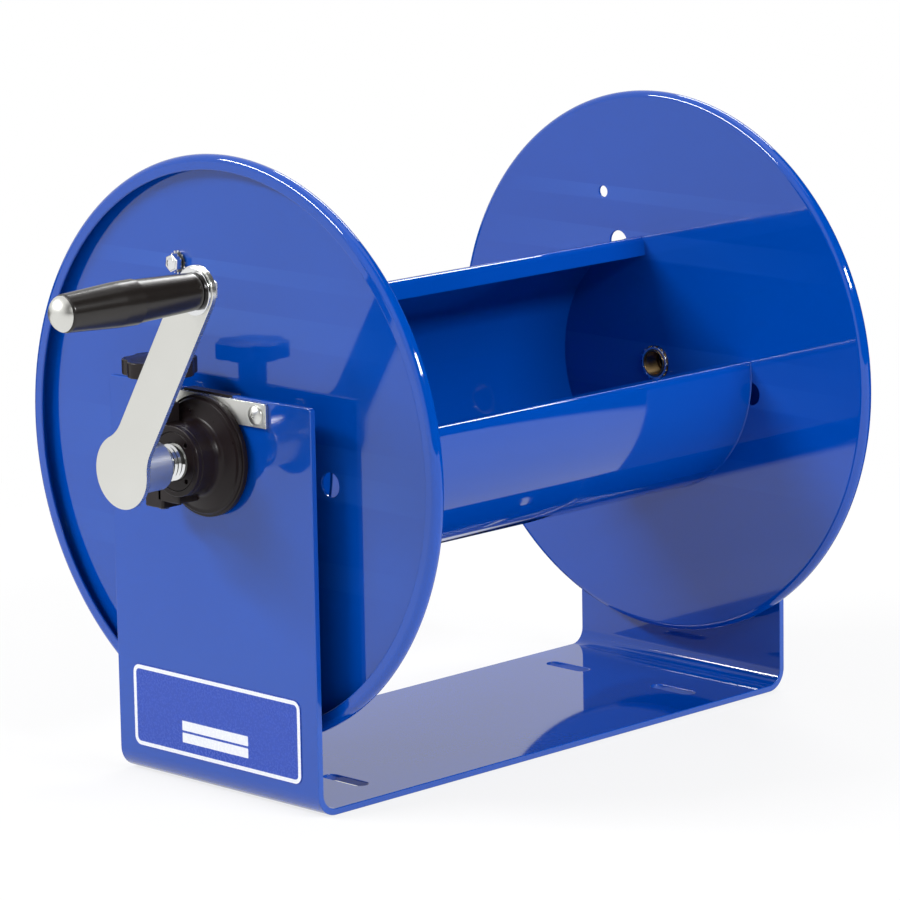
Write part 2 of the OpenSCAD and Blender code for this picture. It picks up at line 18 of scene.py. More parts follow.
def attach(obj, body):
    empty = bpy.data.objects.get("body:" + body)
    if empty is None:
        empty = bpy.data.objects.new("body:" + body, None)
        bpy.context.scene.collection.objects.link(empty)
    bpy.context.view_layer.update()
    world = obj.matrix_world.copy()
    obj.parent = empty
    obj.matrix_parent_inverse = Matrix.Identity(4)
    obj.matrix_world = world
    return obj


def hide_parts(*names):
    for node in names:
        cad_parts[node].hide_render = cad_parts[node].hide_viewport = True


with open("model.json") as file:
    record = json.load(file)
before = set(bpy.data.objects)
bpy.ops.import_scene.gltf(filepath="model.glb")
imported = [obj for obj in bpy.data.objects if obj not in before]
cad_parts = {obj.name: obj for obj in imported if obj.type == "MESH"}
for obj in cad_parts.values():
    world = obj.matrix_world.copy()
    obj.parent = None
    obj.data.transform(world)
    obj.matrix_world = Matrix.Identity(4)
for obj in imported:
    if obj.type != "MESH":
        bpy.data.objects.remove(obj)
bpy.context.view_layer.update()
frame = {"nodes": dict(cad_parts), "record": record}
MM = 0.001
print("nodes in the model:", len(frame["nodes"]))

# %% [markdown]
# ## Camera
# We look down a little at the reel from the crank's front corner, through a long lens. A camera is a
# place and three directions: right, up and forward. We write them as a rotation, so that nothing
# depends on a target object.

# %% Camera
SENSOR_WIDTH = 36.0
PICTURE_WIDTH, FOCAL_PIXELS = 900, 4752.383
CAMERA_AT = Vector((-1.768185, -1.761219, 0.653397))
RIGHT = Vector((0.7043064, -0.7096911, -0.0170606))
UP = Vector((0.1513134, 0.1265984, 0.9803454))
FORWARD = Vector((0.6935826, 0.6930450, -0.1965498))


def add_camera():
    lens = bpy.data.cameras.new("camera")
    lens.sensor_width = SENSOR_WIDTH
    lens.lens = SENSOR_WIDTH * FOCAL_PIXELS / PICTURE_WIDTH
    lens.clip_start, lens.clip_end = 0.05, 50
    camera = bpy.data.objects.new("camera", lens)
    turn = Matrix((RIGHT, UP, -FORWARD)).transposed().to_4x4()
    camera.matrix_world = Matrix.Translation(CAMERA_AT) @ turn
    bpy.context.scene.collection.objects.link(camera)
    bpy.context.scene.camera = camera


add_camera()
bpy.context.scene.view_settings.view_transform = "Standard"
print("lens in mm:", round(bpy.context.scene.camera.data.lens, 1))

# %% [markdown]
# ## Node trees in plain arithmetic
# Both materials and Geometry Nodes are trees of nodes. Writing `1 - mask * 0.3` is clearer than wiring
# two Math nodes, so one small class wraps a socket and lets Python's operators add the nodes.

# %% Node trees in plain arithmetic
class Wire:
    """An output socket that can be used in arithmetic."""

    def __init__(self, tree, socket):
        self.tree, self.socket = tree, socket

    def math(self, operation, *inputs):
        made = self.tree.node("ShaderNodeMath", {"operation": operation}, dict(enumerate(inputs)))
        return made[0]

    def __add__(self, other):
        return self.math("ADD", self, other)

    def __radd__(self, other):
        return self.math("ADD", other, self)

    def __sub__(self, other):
        return self.math("SUBTRACT", self, other)

    def __rsub__(self, other):
        return self.math("SUBTRACT", other, self)

    def __mul__(self, other):
        return self.math("MULTIPLY", self, other)

    def __gt__(self, other):
        return self.math("GREATER_THAN", self, other)

    def __abs__(self):
        return self.math("ABSOLUTE", self)

    def most(self, other):
        return self.math("MAXIMUM", self, other)

    def root(self):
        return self.math("SQRT", self.most(0.0))


print("defined: arithmetic on sockets")

# %% [markdown]
# Every other node comes from one method. It takes the node's type, its settings and its inputs, where
# an input is a number or another node's socket. What it returns is read by the output's name or number.

# %% Trees
class Made:
    """A node whose outputs are read by name or number."""

    def __init__(self, tree, node):
        self.tree, self.node = tree, node

    def __getitem__(self, key):
        return Wire(self.tree, self.node.outputs[key])


class Tree:
    """A material's or a Geometry Nodes tree."""

    def __init__(self, node_tree):
        self.nodes, self.links = node_tree.nodes, node_tree.links

    def node(self, kind, settings=None, inputs=None):
        node = self.nodes.new(kind)
        for key, value in (settings or {}).items():
            setattr(node, key, value)
        for key, value in (inputs or {}).items():
            if isinstance(value, Wire):
                self.links.new(value.socket, node.inputs[key])
            else:
                node.inputs[key].default_value = value
        return Made(self, node)


print("defined: trees of nodes")

# %% [markdown]
# ## Finishes
# Each finish starts from one shader and a few maps over the surface. Noise in Object coordinates gives
# the paint its orange peel, the plastic its moulded grain and the metal its faint brush marks. Slabs
# carry an attribute named rim that is 1 along their cut edges, where paint and plating are thinner.

# %% Finishes
class Finish(Tree):
    """A material with one Principled shader."""

    def __init__(self, name, **constants):
        self.material = bpy.data.materials.new(name)
        self.material.use_nodes = True
        super().__init__(self.material.node_tree)
        self.shader = self.nodes["Principled BSDF"]
        for key, value in constants.items():
            self.shader.inputs[key.replace("_", " ")].default_value = value
        self.place = self.node("ShaderNodeTexCoord")["Object"]
        self.rim = self.node("ShaderNodeAttribute", {"attribute_name": "rim"})["Fac"]

    def noise(self, scale, detail=2.0, stretch=None):
        place = self.place
        if stretch:
            place = self.node("ShaderNodeMapping", None, {"Vector": place, "Scale": stretch})["Vector"]
        made = self.node("ShaderNodeTexNoise", None, {"Vector": place, "Scale": scale, "Detail": detail})
        return made[0]

    def blend(self, amount, low, high):
        """A colour between low and high."""
        made = self.node("ShaderNodeMix", {"data_type": "RGBA"}, {0: amount})
        for key, value in ((6, low), (7, high)):
            if isinstance(value, Wire):
                self.links.new(value.socket, made.node.inputs[key])
            else:
                made.node.inputs[key].default_value = (*value, 1)
        return made[2]

    def feed(self, socket, wire):
        self.links.new(wire.socket, self.shader.inputs[socket])

    def bump(self, height, strength, distance):
        made = self.node("ShaderNodeBump", None,
                         {"Height": height, "Strength": strength, "Distance": distance})
        self.feed("Normal", made["Normal"])


print("defined: finishes with one shader")

# %% [markdown]
# Powder coat is a deep blue layer under its own gloss. It is almost a mirror at a glancing angle, with
# a slow waviness a few millimetres long. On the rims the layer is thinner, so it turns a little paler.

# %% Powder coat
def powder_coat():
    paint = Finish("blue_powder_coat", Roughness=0.06, IOR=1.5, Coat_Weight=0.25, Coat_Roughness=0.03)
    cloud = paint.noise(9.0, 3.0)
    colour = paint.blend(cloud, (0.0, 0.052, 0.35), (0.0, 0.062, 0.40))
    paint.feed("Base Color", paint.blend(paint.rim * 0.25, colour, (0.02, 0.12, 0.55)))
    paint.feed("Roughness", 0.035 + paint.noise(60.0) * 0.03 + paint.rim * 0.03)
    peel = paint.noise(420.0, 1.0) + paint.noise(90.0, 1.0) * 1.5
    paint.bump(peel, 0.025, 0.0001)
    return paint.material


BLUE_PAINT = powder_coat()
print("made:", BLUE_PAINT.name)

# %% [markdown]
# The bearings and the knob are black plastic with a fine moulded grain. The grip is the same colour but
# glossier. The seals in the swivel are dull rubber with a little dust on them.

# %% Plastics and rubber
def moulded_plastic():
    plastic = Finish("black_moulded_plastic", Specular_IOR_Level=0.2)
    flow = plastic.noise(30.0, 3.0, (1.0, 1.0, 0.25))
    colour = plastic.blend(flow, (0.008, 0.005, 0.005), (0.014, 0.009, 0.010))
    plastic.feed("Base Color", plastic.blend(plastic.rim * 0.4, colour, (0.03, 0.026, 0.026)))
    plastic.feed("Roughness", 0.24 + plastic.noise(250.0) * 0.12 - plastic.rim * 0.06)
    plastic.bump(plastic.noise(1500.0, 2.0), 0.12, 0.00003)
    return plastic.material


def grip_plastic():
    plastic = Finish("grip_plastic", Specular_IOR_Level=0.5)
    flow = plastic.noise(25.0, 3.0, (0.2, 1.0, 1.0))
    plastic.feed("Base Color", plastic.blend(flow, (0.006, 0.005, 0.004), (0.015, 0.012, 0.011)))
    plastic.feed("Roughness", 0.20 + plastic.noise(90.0, 3.0) * 0.08)
    plastic.bump(plastic.noise(2200.0, 2.0), 0.10, 0.00002)
    return plastic.material


def soft_rubber():
    rubber = Finish("seal_rubber", Specular_IOR_Level=0.3)
    dust = rubber.noise(60.0, 3.0)
    rubber.feed("Base Color", rubber.blend(dust, (0.010, 0.010, 0.010), (0.030, 0.029, 0.028)))
    rubber.feed("Roughness", 0.6 + dust * 0.2)
    rubber.bump(rubber.noise(1800.0), 0.2, 0.00003)
    return rubber.material


BLACK_PLASTIC, GRIP_PLASTIC, SEAL_RUBBER = moulded_plastic(), grip_plastic(), soft_rubber()
print("made:", BLACK_PLASTIC.name, GRIP_PLASTIC.name, SEAL_RUBBER.name)

# %% [markdown]
# All bare metal shares one recipe: a colour between a low and a high value that drifts slowly like a
# stain, and marks drawn out along the axle, as turning and brushing leave them. A low roughness gives
# bright plating and a higher one satin zinc.

# %% Metals
ALONG_THE_AXLE = (0.08, 1.0, 1.0)


def plated(name, low, high, rough, streak):
    metal = Finish(name, Metallic=1.0)
    marks = metal.noise(420.0, 3.0, ALONG_THE_AXLE)
    stain = metal.noise(22.0, 3.0)
    metal.feed("Base Color", metal.blend(stain, low, high))
    metal.feed("Roughness", rough + marks * streak + stain * 0.05 - metal.rim * rough * 0.3)
    metal.bump(marks, 0.01, 0.00002)
    return metal.material


ZINC = plated("satin_zinc", (0.66, 0.66, 0.62), (0.76, 0.76, 0.73), 0.26, 0.12)
BRIGHT = plated("bright_plate", (0.72, 0.73, 0.74), (0.80, 0.81, 0.82), 0.07, 0.08)
# Brass colour set far darker than bare brass: painted shade for the port deep inside the drum, which the
# swivel outside shares.
DARKENED_BRASS = plated("turned_brass", (0.30, 0.20, 0.09), (0.42, 0.29, 0.14), 0.24, 0.12)
DARK_ZINC = plated("dark_zinc", (0.10, 0.10, 0.10), (0.16, 0.16, 0.15), 0.34, 0.12)
print("made:", ZINC.name, BRIGHT.name, DARKENED_BRASS.name, DARK_ZINC.name)

# %% [markdown]
# The label stays blank: a blue film with a pale border and two empty fields to write on. Its pattern
# is a distance worked out from the label's middle, so the lines stay sharp up close.

# %% Label film
LABEL_WIDE, LABEL_HIGH, LABEL_CORNER = 127.0, 44.0, 5
LABEL_MIDDLE_Z = 37.5
BORDER_FROM, BORDER_TO = 0.4, 2.5
FIELD_HEIGHTS = (-5.6, -12.0)


def label_film():
    film = Finish("label_film", Specular_IOR_Level=0.5)
    parts = film.node("ShaderNodeSeparateXYZ", None, {"Vector": film.place})
    across, up = parts["Y"], parts["Z"] - LABEL_MIDDLE_Z * MM

    def frame_distance(middle_across, middle_up, half_across, half_up, corner):
        over_a = (abs(across - middle_across) - (half_across - corner)).most(0.0)
        over_u = (abs(up - middle_up) - (half_up - corner)).most(0.0)
        return (over_a * over_a + over_u * over_u).root() - corner

    outer = frame_distance(0.0, 0.0, LABEL_WIDE / 2 * MM, LABEL_HIGH / 2 * MM, LABEL_CORNER * MM)
    border = (outer > -BORDER_TO * MM) - (outer > -BORDER_FROM * MM)
    fields = 0.0
    for height in FIELD_HEIGHTS:
        field = 1 - (frame_distance(1 * MM, height * MM, 25 * MM, 2.6 * MM, 0.4 * MM) > 0.0)
        fields = field + fields
    pale = border.most(fields)
    grain = film.noise(900.0, 1.0)
    colour = film.blend(grain, (0.010, 0.050, 0.38), (0.014, 0.065, 0.43))
    film.feed("Base Color", film.blend(pale, colour, (0.78, 0.80, 0.84)))
    film.feed("Roughness", 0.22 + grain * 0.1)
    film.bump(grain, 0.06, 0.00002)
    return film.material


LABEL_FILM = label_film()
print("made:", LABEL_FILM.name)

# %% [markdown]
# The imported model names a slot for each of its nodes. Every slot has one of these finishes, and the
# model's own nodes get theirs here.

# %% Slots
FINISHES = {"blue_paint": BLUE_PAINT, "black_plastic": BLACK_PLASTIC, "zinc_steel": ZINC,
            "bright_steel": BRIGHT, "brass": DARKENED_BRASS, "seal_rubber": SEAL_RUBBER, "label_film": LABEL_FILM}
for part in frame["record"]["subparts"]:
    slots = frame["nodes"][part["node"]].data.materials
    slots.clear()
    slots.append(FINISHES[part["material_slot"]])
print("finishes:", sorted(m.name for m in FINISHES.values()))

# %% [markdown]
# ## Stage and light
# A shiny face shows what stands round it, so the floor matters as much as the lamps. It is matte near
# the reel, where it keeps the shadow, and glows more with distance until it is plain white. Beyond the
# reel it turns dark, but only in reflections, which gives the blue paint its dark bands.

# %% Floor
FLOOR_DROP = 0.0003
FLOOR_HALF = 30.0
MATTE_WITHIN, WHITE_BEYOND, NEAR_GLOW = 0.25, 0.75, 0.78
DARK_TOWARD, DARK_FROM, DARK_TO = (0.835, 0.55), 0.17, 0.21
WHITE = (1, 1, 1, 1)


def seen_directly(tree):
    """1 for rays from the camera, and for those that a reflection or glass sends on."""
    path = tree.node("ShaderNodeLightPath")
    return path["Is Camera Ray"].most(path["Is Glossy Ray"]).most(path["Is Transmission Ray"])


def paint_floor():
    material = bpy.data.materials.new("pale_floor")
    material.use_nodes = True
    tree = Tree(material.node_tree)
    tree.nodes.remove(tree.nodes["Principled BSDF"])
    place = tree.node("ShaderNodeTexCoord")["Object"]
    parts = tree.node("ShaderNodeSeparateXYZ", None, {"Vector": place})
    x, y = parts["X"], parts["Y"]
    glow_share = tree.node("ShaderNodeMapRange", {"interpolation_type": "SMOOTHSTEP"},
                           {0: (x * x + y * y).root(), 1: MATTE_WITHIN, 2: WHITE_BEYOND,
                            3: NEAR_GLOW, 4: 1.0})[0]
    toward = x * DARK_TOWARD[0] + y * DARK_TOWARD[1]
    beyond = tree.node("ShaderNodeMapRange", None, {0: toward, 1: DARK_FROM, 2: DARK_TO})[0]
    dark = beyond * tree.node("ShaderNodeLightPath")["Is Glossy Ray"]
    matte = tree.node("ShaderNodeBsdfDiffuse", None, {"Color": (0.82, 0.82, 0.82, 1)})
    glow = tree.node("ShaderNodeEmission", None, {"Color": WHITE, "Strength": 1 - dark})
    share = seen_directly(tree) * glow_share.most(dark)
    mixed = tree.node("ShaderNodeMixShader", None, {0: share, 1: matte[0], 2: glow[0]})
    tree.links.new(mixed[0].socket, tree.nodes["Material Output"].inputs["Surface"])
    return material


def add_floor():
    mesh = bpy.data.meshes.new("floor")
    corners = [(-1, -1), (1, -1), (1, 1), (-1, 1)]
    mesh.from_pydata([(x * FLOOR_HALF, y * FLOOR_HALF, 0) for x, y in corners], [], [(0, 1, 2, 3)])
    floor = bpy.data.objects.new("floor", mesh)
    floor.location.z = -FLOOR_DROP
    mesh.materials.append(paint_floor())
    bpy.context.scene.collection.objects.link(floor)


add_floor()
print("floor width (m):", 2 * FLOOR_HALF)

# %% [markdown]
# The world is plain white for the camera. Reflections see it pale at the camera's left and dark at its
# right, like a room with one dim side. All other rays get a weak and even light.

# %% World
SKY_IN_GLOSS, AMBIENT = 0.8, 0.34


def paint_world():
    world = bpy.data.worlds.new("studio")
    bpy.context.scene.world = world
    world.use_nodes = True
    tree = Tree(world.node_tree)
    tree.nodes.remove(tree.nodes["Background"])
    path = tree.node("ShaderNodeLightPath")
    toward = tree.node("ShaderNodeTexCoord")["Generated"]
    parts = tree.node("ShaderNodeSeparateXYZ", None, {"Vector": toward})
    behind = parts["Y"] * 0.9 - parts["X"] * 0.45
    shade = tree.node("ShaderNodeMapRange", {"interpolation_type": "SMOOTHSTEP"},
                      {0: behind, 1: -0.35, 2: 0.15, 3: 0.0, 4: SKY_IN_GLOSS})[0]
    glossy = shade * path["Is Glossy Ray"] + path["Is Camera Ray"].most(path["Is Transmission Ray"])
    strength = glossy + (1 - seen_directly(tree)) * AMBIENT
    light = tree.node("ShaderNodeBackground", None, {"Color": WHITE, "Strength": strength})
    tree.links.new(light[0].socket, tree.nodes["World Output"].inputs["Surface"])


paint_world()
print("world:", bpy.context.scene.world.name)

# %% [markdown]
# Three long strip lamps draw thin lines of light along the rims. The strongest stands at the camera's
# left, so faces turned the other way stay dark. A weak soft lamp overhead fills in.

# %% Lamps
LAMPS_AIM_AT = Vector((0, 0, 0.15))


def add_lamp(name, place, size, power):
    lamp = bpy.data.lights.new(name, "AREA")
    lamp.shape = "RECTANGLE"
    lamp.size, lamp.size_y = size
    lamp.energy = power
    holder = bpy.data.objects.new(name, lamp)
    place = Vector(place)
    aim = LAMPS_AIM_AT - place
    holder.matrix_world = Matrix.Translation(place) @ aim.to_track_quat("-Z", "Y").to_matrix().to_4x4()
    bpy.context.scene.collection.objects.link(holder)


add_lamp("strip_left", (-1.83, 1.19, 1.76), (1.8, 0.25), 60)
add_lamp("strip_front", (0.05, -2.10, 1.40), (1.3, 0.30), 44)
add_lamp("strip_right", (1.20, 0.55, 1.50), (1.0, 0.25), 11)
add_lamp("softbox_overhead", (0.2, -0.3, 2.2), (1.4, 1.4), 5)
print("lamps:", len(bpy.data.lights))

# %% [markdown]
# ## Outlines whose edges are all round
# Real sheet metal and moulded plastic have no perfectly sharp edges, and the thin line of light on each
# edge is what makes a part look solid. So an outline here keeps, at every point, the way it faces
# before and after that point. Where the two agree, the surface is smooth and gloss runs cleanly over.

# %% Outlines whose edges are all round
NEARLY_ZERO, SLIVER = 1e-6, 1e-9


class Outline:
    """Points of a closed 2-D loop with the material on its left, and the way each point faces."""

    def __init__(self, points, before, after=None):
        self.points = np.array(points, float)
        self.before = np.array(before, float)
        self.after = np.array(before if after is None else after, float)

    def __len__(self):
        return len(self.points)

    def inset(self, distance):
        """The loop moved into the material."""
        mid = self.before + self.after
        mid /= (1 + (self.before * self.after).sum(1))[:, None]
        return self.points - mid * distance

    def turned(self, degrees):
        a = math.radians(degrees)
        turn = np.array([[math.cos(a), math.sin(a)], [-math.sin(a), math.cos(a)]])
        return Outline(self.points @ turn, self.before @ turn, self.after @ turn)

    def reversed(self):
        """The same loop as the edge of a hole."""
        return Outline(self.points[::-1], -self.after[::-1], -self.before[::-1])


print("corners count as straight below a turn of", NEARLY_ZERO)

# %% [markdown]
# Most outlines start as a list of sharp corners. `eased` replaces each corner by an arc of its own
# radius, on outer and inner corners alike, and leaves a corner sharp where the radius is 0.

# %% Round corners
def block(left, low, right, high):
    """The four corners of an upright rectangle, in order."""
    return [(left, low), (right, low), (right, high), (left, high)]


def eased(corners, radii, fine=5):
    """Closed outline through corners, each made an arc of its radius."""
    corners = [np.array(c, float) for c in corners]
    if not hasattr(radii, "__len__"):
        radii = [radii] * len(corners)
    points, before, after = [], [], []
    for k, corner in enumerate(corners):
        come = corner - corners[k - 1]
        go = corners[(k + 1) % len(corners)] - corner
        come, go = come / np.hypot(*come), go / np.hypot(*go)
        face_in, face_out = np.array([come[1], -come[0]]), np.array([go[1], -go[0]])
        bend = math.atan2(come[0] * go[1] - come[1] * go[0], float(come @ go))
        if radii[k] <= 0 or abs(bend) < NEARLY_ZERO:
            points.append(corner)
            before.append(face_in)
            after.append(face_out)
            continue
        side = math.copysign(1, bend)
        centre = corner - come * radii[k] * math.tan(abs(bend) / 2) - face_in * side * radii[k]
        count = max(2, int(abs(bend) / math.pi * 2 * fine + 0.5))
        for i in range(count + 1):
            turn = bend * i / count
            facing = np.array([face_in[0] * math.cos(turn) - face_in[1] * math.sin(turn),
                               face_in[0] * math.sin(turn) + face_in[1] * math.cos(turn)])
            points.append(centre + facing * side * radii[k])
            before.append(facing)
            after.append(facing)
    return Outline(points, before, after)


print("points on a square with round corners:", len(eased(block(-5, -5, 5, 5), 1)))

# %% [markdown]
# Other outlines are made of arcs: a hole is a ring, and the crank arm is four arcs whose ends meet.
# Where two arcs share a point, `joined` keeps it once.

# %% Arcs
def arc(centre, radius, start, end, count):
    """Points on an arc and the way they face, outward for a positive radius."""
    angles = np.radians(np.linspace(start, end, count))
    out = np.stack([np.cos(angles), np.sin(angles)], 1)
    return np.array(centre) + abs(radius) * out, out * math.copysign(1, radius)


def ring(radius, count=48, centre=(0.0, 0.0)):
    points, facing = arc(centre, radius, 0, 360 * (count - 1) / count, count)
    return Outline(points, facing)


def joined(*pieces):
    """One outline from (points, facing) pieces. Where two pieces meet at one point, it is kept once."""
    points, before, after = [], [], []
    for new_points, facing in pieces:
        for point, face in zip(new_points, facing):
            if points and np.hypot(*(point - points[-1])) < NEARLY_ZERO:
                after[-1] = face
                continue
            points.append(point)
            before.append(face)
            after.append(face)
    if np.hypot(*(points[0] - points[-1])) < NEARLY_ZERO:
        before[0] = before.pop()
        points.pop()
        after.pop()
    return Outline(points, before, after)


print("points on a ring:", len(ring(1.0)))

# %% [markdown]
# ## From outlines to meshes
# A shape collects points and faces in millimetres, and each face's corners keep the way they face.
# `spin` turns an outline about an axis, and `slab` gives an outline with holes a thickness and round
# edges. `mesh` moves the result to its place, while the object itself stays at the origin.

# %% From outlines to meshes
class Shape:
    """Points, faces, and the way each face's corners face."""

    def __init__(self):
        self.points, self.faces, self.facing, self.rims = [], [], [], []
        self.flat = set()

    def add(self, points, rim=0.0):
        start = len(self.points)
        self.points.extend(map(tuple, points))
        self.rims.extend([rim] * len(points))
        return start

    def face(self, corners, facing):
        self.faces.append(tuple(corners))
        self.facing.extend(map(tuple, facing))

    def spin(self, outline, count=96, closed=True):
        """Turns an outline of (height, radius) about the local Z axis."""
        angles = np.arange(count) * 2 * math.pi / count
        round_x, round_y = np.cos(angles), np.sin(angles)
        starts = []
        for height, radius in outline.points:
            pole = radius < NEARLY_ZERO
            loop = np.stack([radius * round_x, radius * round_y, np.full(count, height)], 1)
            starts.append((self.add([(0.0, 0.0, height)] if pole else loop), pole))
        total = len(outline)
        for i in range(total if closed else total - 1):
            j = (i + 1) % total
            (a, pole_a), (b, pole_b) = starts[i], starts[j]
            if pole_a and pole_b:
                continue
            here, there = outline.after[i], outline.before[j]
            for k in range(count):
                n = (k + 1) % count
                c, s, d, t = round_x[k], round_y[k], round_x[n], round_y[n]
                h0, h1 = (here[1] * c, here[1] * s, here[0]), (here[1] * d, here[1] * t, here[0])
                t0, t1 = (there[1] * c, there[1] * s, there[0]), (there[1] * d, there[1] * t, there[0])
                if pole_a:
                    self.face((a, b + k, b + n), (h0, t0, t1))
                elif pole_b:
                    self.face((a + k, b, a + n), (h0, t0, h1))
                else:
                    self.face((a + k, b + k, b + n, a + n), (h0, t0, t1, h1))
        return self

    def wall(self, loop, levels, rim=None):
        """Bands round a loop between levels of (height, inset, lift, outward), the last two a facing."""
        starts = []
        for height, inset, _, outward in levels:
            solid = np.column_stack([loop.inset(inset), np.full(len(loop), height)])
            starts.append(self.add(solid, float(outward > 0.3) if rim is None else rim))
        for m in range(len(levels) - 1):
            (lift0, out0), (lift1, out1) = levels[m][2:], levels[m + 1][2:]
            for i in range(len(loop)):
                j = (i + 1) % len(loop)
                a, b = loop.after[i], loop.before[j]
                self.face((starts[m] + i, starts[m] + j, starts[m + 1] + j, starts[m + 1] + i),
                          [(*(a * out0), lift0), (*(b * out0), lift0),
                           (*(b * out1), lift1), (*(a * out1), lift1)])
        return starts[0], starts[-1]

    def slab(self, outer, low, high, edge=0.3, holes=(), steps=3):
        """Gives an outline in local X and Y a thickness along Z, with its edges round."""
        levels_low, levels_high = [], []
        for k in range(steps + 1):
            a = math.radians(90 * k / steps)
            c, s = math.cos(a), math.sin(a)
            levels_low.append((low + edge * (1 - c), edge * (1 - s), -c, s))
            levels_high.append((high - edge * (1 - s), edge * (1 - c), s, c))
        caps_low, caps_high = [], []
        for loop in (outer, *holes):
            first, last = self.wall(loop, levels_low + levels_high)
            caps_low.append((first, loop.inset(edge)))
            caps_high.append((last, loop.inset(edge)))
        self.fill(caps_low, -1.0)
        self.fill(caps_high, 1.0)
        return self

    def fill(self, loops, up):
        """Covers the flat area between one outer loop and its holes, facing up (1) or down (-1)."""
        numbers = [start + i for start, flat in loops for i in range(len(flat))]
        flat_points = np.concatenate([flat for _, flat in loops])
        polygons = [[Vector((x, y, 0)) for x, y in flat] for _, flat in loops]
        for a, b, c in tessellate_polygon(polygons):
            pa, pb, pc = flat_points[a], flat_points[b], flat_points[c]
            area = (pb[0] - pa[0]) * (pc[1] - pa[1]) - (pb[1] - pa[1]) * (pc[0] - pa[0])
            if abs(area) < SLIVER:
                continue
            if area * up < 0:
                b, c = c, b
            self.flat.add(len(self.faces))
            self.face((numbers[a], numbers[b], numbers[c]), [(0.0, 0.0, up)] * 3)

    def turn_over(self):
        """Reverses every face, for a shape that is placed in a mirror."""
        turned, at = [], 0
        for number, corners in enumerate(self.faces):
            turned.extend(self.facing[at:at + len(corners)][::-1])
            self.faces[number] = corners[::-1]
            at += len(corners)
        self.facing = turned

    def mesh(self, name, place=None):
        """The shape as a mesh in metres, moved by place."""
        mesh = bpy.data.meshes.new(name)
        mesh.from_pydata(self.points, [], self.faces)
        rim = mesh.attributes.new("rim", "FLOAT", "POINT")
        rim.data.foreach_set("value", self.rims)
        mesh.polygons.foreach_set("use_smooth", [i not in self.flat for i in range(len(self.faces))])
        place = place or Matrix()
        mesh.transform(place)
        mesh.transform(Matrix.Scale(MM, 4))
        facing = np.array(self.facing) @ np.array(place.to_3x3()).T
        mesh.normals_split_custom_set(facing.tolist())
        return mesh


print("faces on a small block:", len(Shape().slab(eased(block(-5, -5, 5, 5), 1), 0, 2).faces))

# %% [markdown]
# A finished mesh becomes a piece of the reel in one step: it gets its finish and the body that it moves
# with, and the nodes of the imported model that it stands for are hidden. Most turned parts need nothing
# more than a spun outline.

# %% Pieces
def show(name, mesh, finish, body, slot, *stands_for):
    """Puts a finished mesh into the scene as a piece of the reel."""
    piece = bpy.data.objects.new(name, mesh)
    mesh.materials.clear()
    mesh.materials.append(finish)
    bpy.context.scene.collection.objects.link(piece)
    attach(piece, body)
    if stands_for:
        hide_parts(*stands_for)
    return piece


def spin_piece(name, node, place, corners, radii, body, slot, finish=None, count=96):
    """A spun piece from corners of (height, radius) and the arcs at them."""
    mesh = Shape().spin(eased(corners, radii), count).mesh(name, place)
    return show(name, mesh, finish or FINISHES[slot], body, slot, *([node] if node else []))


# %% [markdown]
# ## Two sides, one way to place things
# Everything on the axle is drawn with Z pointing outward from a leg's outer face and the axle at the
# origin. A matrix for each side turns that into the model's frame. The crank's parts are then shifted
# to the spindle, and the brake's parts stand upright on their own screw.

# %% Two sides, one way to place things
LEG_OUT, AXLE_Z = 178.9, 178.4
CRANK_ANGLE, CRANK_REACH = -31, 114.3
BRAKE_OUT, BRAKE_ACROSS = 14.4, 19.4
CRANK_SIDE = Matrix(((0, 0, -1, -LEG_OUT), (-1, 0, 0, 0), (0, 1, 0, AXLE_Z), (0, 0, 0, 1)))
INLET_SIDE = Matrix(((0, 0, 1, LEG_OUT), (1, 0, 0, 0), (0, 1, 0, AXLE_Z), (0, 0, 0, 1)))
CRANK_TURN = CRANK_SIDE @ Matrix.Rotation(math.radians(CRANK_ANGLE), 4, "Z")
SPINDLE = CRANK_TURN @ Matrix.Translation((0, CRANK_REACH, 0))
BRAKE = Matrix.Translation((-LEG_OUT - BRAKE_OUT, BRAKE_ACROSS, AXLE_Z))


def along(place, height):
    """A place moved along its own Z."""
    return place @ Matrix.Translation((0, 0, height))


print("spindle at (mm):", [round(c, 1) for c in SPINDLE.translation])

# %% [markdown]
# ## Stand
# The stand is one plate, cut flat and then bent up at both ends. We do the same: a slab gets its four
# floor slots, its screw holes and the notch of each leg while it is flat. The length of sheet that a
# bend takes up follows from the bend's radius at the middle of the plate.

# %% Stand
PLATE, BEND = 3.5, 12.0
FLAT_HALF = LEG_OUT - BEND
BEND_ALONG = (BEND - PLATE / 2) * math.pi / 2
LEG_START = FLAT_HALF + BEND_ALONG
LEG_HEIGHT = 211.0
TOP = LEG_START + LEG_HEIGHT - BEND
SLOT_X, SLOT_Y, SLOT_HALF_LONG, SLOT_HALF_WIDE = 126, 40, 15, 4.35
SCREW_ACROSS, STRAP_MID = 37.7, 25.15


def flat_pattern():
    """The cut plate before bending, with its length along local X and width along Y."""
    half, notch = 75.5, 18.4
    bottom = LEG_START + AXLE_Z - BEND - notch
    corners, radii = [], []
    for side in (1, -1):
        corners += [(side * TOP, -side * half), (side * TOP, -side * notch), (side * bottom, -side * notch),
                    (side * bottom, side * notch), (side * TOP, side * notch), (side * TOP, side * half)]
        radii += [2, 0.6, notch - 0.02, notch - 0.02, 0.6, 2]
    holes = []
    for x in (-SLOT_X, SLOT_X):
        for y in (-SLOT_Y, SLOT_Y):
            slot = block(x - SLOT_HALF_WIDE, y - SLOT_HALF_LONG, x + SLOT_HALF_WIDE, y + SLOT_HALF_LONG)
            holes.append(eased(slot, SLOT_HALF_WIDE, 12).reversed())
    screw_at = LEG_START + AXLE_Z + STRAP_MID - BEND
    for side in (-1, 1):
        for y in (-SCREW_ACROSS, SCREW_ACROSS):
            holes.append(ring(2.75, 32, (side * screw_at, y)).reversed())
    return Shape().slab(eased(corners, radii, 16), 0, PLATE, 0.5, holes)


print("flat length of the plate (mm):", round(2 * TOP, 1))

